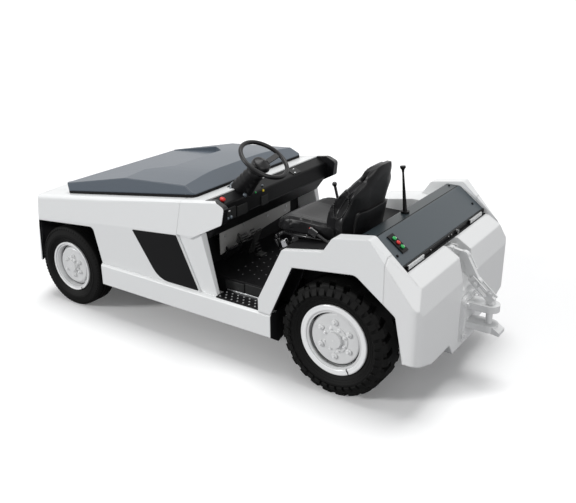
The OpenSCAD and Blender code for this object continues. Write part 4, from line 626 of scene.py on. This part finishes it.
slab(slides, at(0.470, -0.230, 0.824), (0.030, 0.300, 0.014), edge=0.003)
for back in (-0.36, -0.27, -0.18):
    slab(slides, at(0.500, back, 0.868), (0.010, 0.030, 0.060), edge=0.002)
add_piece("seat_slides", slides, tube_black, "tractor")
bracket = bmesh.new()
slab(bracket, at(0.492, -0.452, 0.815), (0.030, 0.040, 0.050), turn=20, edge=0.006)
rod(bracket, at(0.500, -0.452, 0.826), at(0.515, -0.448, 0.828), 0.013, 0.010, 6)
chrome = finish_of("chrome", (0.72, 0.73, 0.74), 0.16, metallic=1.0)
add_piece("seat_bracket", bracket, chrome, "tractor")
buckle = bmesh.new()
slab(buckle, at(0.556, -0.205, 0.952), (0.022, 0.062, 0.046), turn=-25, edge=0.006)
rod(buckle, at(0.556, -0.180, 0.945), at(0.552, -0.100, 0.905), 0.011)
add_piece("belt_buckle", buckle, tube_black, "tractor")
press = bmesh.new()
slab(press, at(0.556, -0.224, 0.974), (0.014, 0.014, 0.006), turn=-25)
add_piece("buckle_button", press, signal_red, "tractor")
paint(tube_black, "seat_base", "brake_lever")

# Fender mat: a black rubber mat bonded to the flat shoulder of the left fender, where the driver steps
# across to the seat.
mat = bmesh.new()
slab(mat, at(0.560, -0.205, 0.8890), (0.196, 0.268, 0.005), turn=9.6, edge=0.002)
add_piece("fender_mat", mat, seal_rubber, "tractor")

# Tail cover: a folded slate panel with a flat strip along its crest, screwed down at the corners,
# with the black box for inching from the ground.
tail_slate = finish_of("tail_slate", (0.036, 0.050, 0.060), 0.42, specular=0.45, coat=0.2, coat_rough=0.2,
                       edge=0.008)
facing = surface_of(tail_slate)[1]
second_colour(tail_slate, calc(tail_slate, "GREATER_THAN", facing["Z"], 0.97), (0.008, 0.016, 0.020))
paint(tail_slate, "tail_cover")
paint(dash_black, "inching_switches", "release_lever", "tail_lamp_bar")
cover_out = Vector((0, 0.6, 0.8))
switch_low, switch_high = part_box("inching_switches")
switch_mid = (switch_low + switch_high) / 2
switch_step = Vector((0, 0.0256, -0.0192))
for step, name, colour in (
        (-1, "inch_up", signal_green), (0, "inch_stop", signal_red), (1, "inch_down", signal_green)):
    cap = bmesh.new()
    foot = switch_mid + switch_step * step
    top = nodes["inching_switches"].ray_cast(foot + cover_out * 0.1, -cover_out)[1]
    turned(cap, top - cover_out * 0.006, cover_out, [
        (0.0, 0.0), (0.0, 0.0125), (0.0070, 0.0125), (0.0100, 0.0090), (0.0105, 0.0)])
    add_piece(name, cap, colour, "tractor", smooth=True)
marks = bmesh.new()
for step in (-1, 1):
    foot = switch_mid + switch_step * step - Vector((0.023, 0, 0))
    top = nodes["inching_switches"].ray_cast(foot + cover_out * 0.1, -cover_out)[1]
    slab(marks, top, (0.009, 0.013, 0.0020), turn=-37)
add_piece("inch_marks", marks, mark_white, "tractor")
fasteners = bmesh.new()
for x, back, z, out in ((0.544, 0.325, 0.919, cover_out), (-0.544, 0.325, 0.919, cover_out),
                        (0.560, 0.150, 1.008, upward), (-0.560, 0.150, 1.008, upward)):
    rod(fasteners, at(x, back, z), at(x, back, z) + out * 0.006, 0.009, 0.007, 6)
add_piece("cover_bolts", fasteners, seal_rubber, "tractor")
# A thin black strip along the crest's fold stands for the shadow line of the groove there: painted shadow.
groove_shadow = bmesh.new()
slab(groove_shadow, at(0, 0.196, 1.0082), (1.196, 0.004, 0.0016))
add_piece("cover_groove_shadow", groove_shadow, seal_rubber, "tractor")

# Lamps: two clear ribbed lenses in a black bar under the tail cover, with a round sounder between, and
# two flush glass headlamps set in the nose panel.
lens_clear = finish_of("lens_clear", (0.66, 0.67, 0.67), 0.18, coat=0.6)
paint(lens_clear, "tail_lamps")
head_glass = finish_of("head_glass", (0.30, 0.31, 0.33), 0.08, coat=1.0)
paint(head_glass, "headlamps")
lens_low, lens_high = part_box("tail_lamps")
lens_mid = (lens_low.z + lens_high.z) / 2
first_rib, rib_pitch = 0.345, 0.0098
ribs = bmesh.new()
for side in (-1, 1):
    for rib in range(21):
        slab(ribs, Vector((side * (first_rib + rib_pitch * rib), lens_high.y + 0.0008, lens_mid)),
             (0.0050, 0.0030, lens_high.z - lens_low.z - 0.004), edge=0.001)
add_piece("lens_ribs", ribs, lens_clear, "tractor")
bezel = bmesh.new()
slab(bezel, Vector((0, lens_high.y - 0.001, lens_low.z - 0.0005)), (1.200, 0.012, 0.007), edge=0.001)
for side in (-1, 1):
    for end in (0.334, 0.554):
        slab(bezel, Vector((side * end, lens_high.y - 0.001, lens_mid)), (0.010, 0.012, 0.032), edge=0.001)
add_piece("lamp_bezels", bezel, seal_rubber, "tractor")
sounder = bmesh.new()
rod(sounder, at(-0.141, 0.384, 0.863), at(-0.141, 0.400, 0.863), 0.0165, 0.0150, 24)
for x in (0.239, -0.018, -0.060):
    rod(sounder, at(x, 0.385, 0.866), at(x, 0.391, 0.866), 0.008, 0.006, 6)
rod(sounder, at(0.345, 0.385, 0.863), at(0.345, 0.397, 0.863), 0.004, 0.004, 8)
add_piece("tail_sounder", sounder, tube_black, "tractor")

# Tail weight and hitch: iron castings under the same white, a little rougher than the sheet. A bent
# arm lifts the drop pin through a slotted link, and hex bolts hold the jaw plate.
cast_white = finish_of("cast_white", (0.76, 0.765, 0.765), 0.42, edge=0.016)
paint(cast_white, "tail_weight")
hitch_white = finish_of("hitch_white", (0.72, 0.725, 0.725), 0.38, edge=0.004)
paint(hitch_white, "hitch_bracket", "hitch_arm", "hitch_pin")


def hex_bolt(bm, seat, out, across, tall):
    """Adds a hex head on a washer."""
    rod(bm, seat, seat + out * tall * 0.25, across * 0.80, sides=24)
    rod(bm, seat, seat + out * tall, across / 2, across * 0.47, 6)


leftward = Vector((1, 0, 0))
plate_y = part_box("hitch_bracket")[0].y + 0.024
hitch_bolts = bmesh.new()
for x, z in ((-0.072, 0.505), (0.072, 0.505), (-0.080, 0.300), (0.080, 0.300)):
    hex_bolt(hitch_bolts, Vector((x, plate_y, z)), rearward, 0.030, 0.020)
for side in (-1, 1):
    hex_bolt(hitch_bolts, at(side * 0.038, 0.412, 0.796), leftward * side, 0.032, 0.018)
add_piece("hitch_bolts", hitch_bolts, hitch_white, "tractor")
arm_bolts = bmesh.new()
arm_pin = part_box("hitch_arm")[1].x
hex_bolt(arm_bolts, at(arm_pin - 0.002, 0.594, 0.628), leftward, 0.024, 0.010)
add_piece("arm_pin_head", arm_bolts, hitch_white, "hitch_arm")
link_bolts = bmesh.new()
link_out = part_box("hitch_pin")[1].x
hex_bolt(link_bolts, at(link_out, 0.686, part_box("hitch_bracket")[1].z + 0.036), leftward, 0.026, 0.012)
add_piece("link_bolt", link_bolts, hitch_white, "hitch_pin")

# Wheels: pressed steel discs in white with a split lock ring and bolted hub flanges, held by six nuts,
# and black tyres with moulded blocks round the shoulders and ribbed walls.
rim_white = finish_of("rim_white", (0.70, 0.705, 0.705), 0.30, coat=0.4, coat_rough=0.12, edge=0.0010)
# The nuts, hub bolts and lock ring bead take a brighter copy of the rim white: painted highlight.
rim_highlight_white = finish_of("rim_highlight_white", (0.88, 0.885, 0.885), 0.22, coat=0.6, coat_rough=0.08, edge=0.0015)
tyre_rubber = finish_of("tyre_rubber", (0.0048, 0.0048, 0.0046), 0.62, specular=0.12)
nut_count, nut_tall, nut_below = 6, 0.015, 0.004
bolt_count = 8
ring_steps = 96
split_turn = math.radians(-60)
block_lean = math.radians(-34)


def on_rim(rim, hub, out, radius, angle):
    """Where a line along the axle meets a rim from outside, at a radius and an angle about its hub."""
    spoke = Vector((0, math.cos(angle), math.sin(angle))) * radius
    return rim.ray_cast(Vector((out.x, hub.y, hub.z)) + spoke, -out)[1]


for corner, nut_ring, nut_wide, bolt_ring, ring_in, ring_out, blocks, block_size, block_reach in (
        ("front", 0.074, 0.018, 0.047, 0.174, 0.186, 72, (0.012, 0.014, 0.016), 0.945),
        ("rear", 0.109, 0.021, 0.070, 0.187, 0.223, 36, (0.012, 0.036, 0.066), 0.885)):
    ring_mid, ring_wide = (ring_in + ring_out) / 2, ring_out - ring_in
    for side, way in (("left", 1), ("right", -1)):
        paint(rim_white, f"{corner}_rim_{side}")
        paint(tyre_rubber, f"{corner}_tyre_{side}")
        body = f"{corner}_wheel_{side}"
        axle = joint_place[f"{body}_spin"]
        out = leftward * way
        rim = nodes[f"{corner}_rim_{side}"]
        tyre = nodes[f"{corner}_tyre_{side}"]

        heads = bmesh.new()
        for place in range(bolt_count):
            seat = on_rim(rim, axle, out, bolt_ring, math.radians(22 + 360 / bolt_count * place))
            hex_bolt(heads, seat, out, 0.014, 0.012)
        seat = on_rim(rim, axle, out, 0.0, 0.0)
        rod(heads, seat, seat + out * 0.002, 0.004, sides=12)
        for place in range(nut_count):
            seat = on_rim(rim, axle, out, nut_ring, math.radians(30 + 360 / nut_count * place))
            rod(heads, seat - out * nut_below, seat + out * 0.006, 0.0075, 0.0060, 14)
            rod(heads, seat - out * nut_tall, seat - out * nut_below, nut_wide, nut_wide * 0.86, 6)
        add_piece(f"{body}_bolts", heads, rim_highlight_white, body)

        lip = on_rim(rim, axle, out, ring_mid, 1.0)
        bead = bmesh.new()
        turned(bead, Vector((lip.x, axle.y, axle.z)), out, [
            (-0.002, ring_in), (0.003, ring_in + ring_wide * 0.12), (0.0015, ring_in + ring_wide * 0.35),
            (0.0015, ring_in + ring_wide * 0.65), (0.005, ring_in + ring_wide * 0.88), (-0.002, ring_out)],
            steps=ring_steps)
        add_piece(f"{body}_bead", bead, rim_highlight_white, body, smooth=True)

        # A thin black ring laid in the recess between the disc and the lock ring: painted shade of that gap.
        shade_ring_radius = ring_in - 0.024
        met = max((on_rim(rim, axle, out, shade_ring_radius, turn) for turn in (0.2, 0.5, 0.8, 1.1, 1.4)),
                  key=lambda spot: spot.x * way)
        shade = bmesh.new()
        turned(shade, Vector((met.x, axle.y, axle.z)), out, [
            (0.0005, shade_ring_radius - 0.004), (0.0008, shade_ring_radius), (0.0005, shade_ring_radius + 0.004)], steps=ring_steps)
        add_piece(f"{body}_shade_ring", shade, chassis_paint, body)

        seat = on_rim(rim, axle, out, ring_mid, split_turn)
        split = bmesh.new()
        bmesh.ops.create_cube(split, size=1, matrix=Matrix.Translation(seat) @ Matrix.Rotation(
            split_turn, 4, "X") @ Matrix.Diagonal((0.014, ring_wide + 0.002, 0.003, 1)))
        add_piece(f"{body}_split", split, seal_rubber, body)

        tyre_low, tyre_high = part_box(f"{corner}_tyre_{side}")
        tread = (tyre_high.z - tyre_low.z) / 2
        width = tyre_high.x - tyre_low.x
        centre = Vector(((tyre_low.x + tyre_high.x) / 2, axle.y, axle.z))
        wall = bmesh.new()
        for share in (0.70, 0.74, 0.80):
            beside = Vector((way * 1.0, axle.y + tread * share, axle.z))
            met = tyre.ray_cast(beside, -out)[1]
            turned(wall, Vector((met.x, axle.y, axle.z)), out, [
                (-0.004, tread * share - 0.003), (0.0022, tread * share), (-0.004, tread * share + 0.003)],
                steps=ring_steps)
        for block in range(blocks):
            turn = Matrix.Rotation(2 * math.pi * (block + 0.25) / blocks, 4, "X")
            for end in (-1, 1):
                beside = centre + turn @ Vector((end * width, 0, tread * block_reach))
                met = tyre.ray_cast(beside, Vector((-end, 0, 0)))[1]
                middle = Vector((met.x - centre.x - end * 0.002, 0, tread * block_reach))
                stand = Matrix.Translation(centre) @ turn @ Matrix.Translation(middle)
                lean = Matrix.Rotation(block_lean * end, 4, "Y")
                made = bmesh.ops.create_cube(
                    wall, size=1, matrix=stand @ lean @ Matrix.Diagonal((*block_size, 1)))
                edges = list({e for v in made["verts"] for e in v.link_edges})
                bmesh.ops.bevel(wall, geom=edges, offset=0.002, affect="EDGES", segments=1, profile=0.5,
                                material=-1)
        add_piece(f"{body}_treads", wall, tyre_rubber, body)
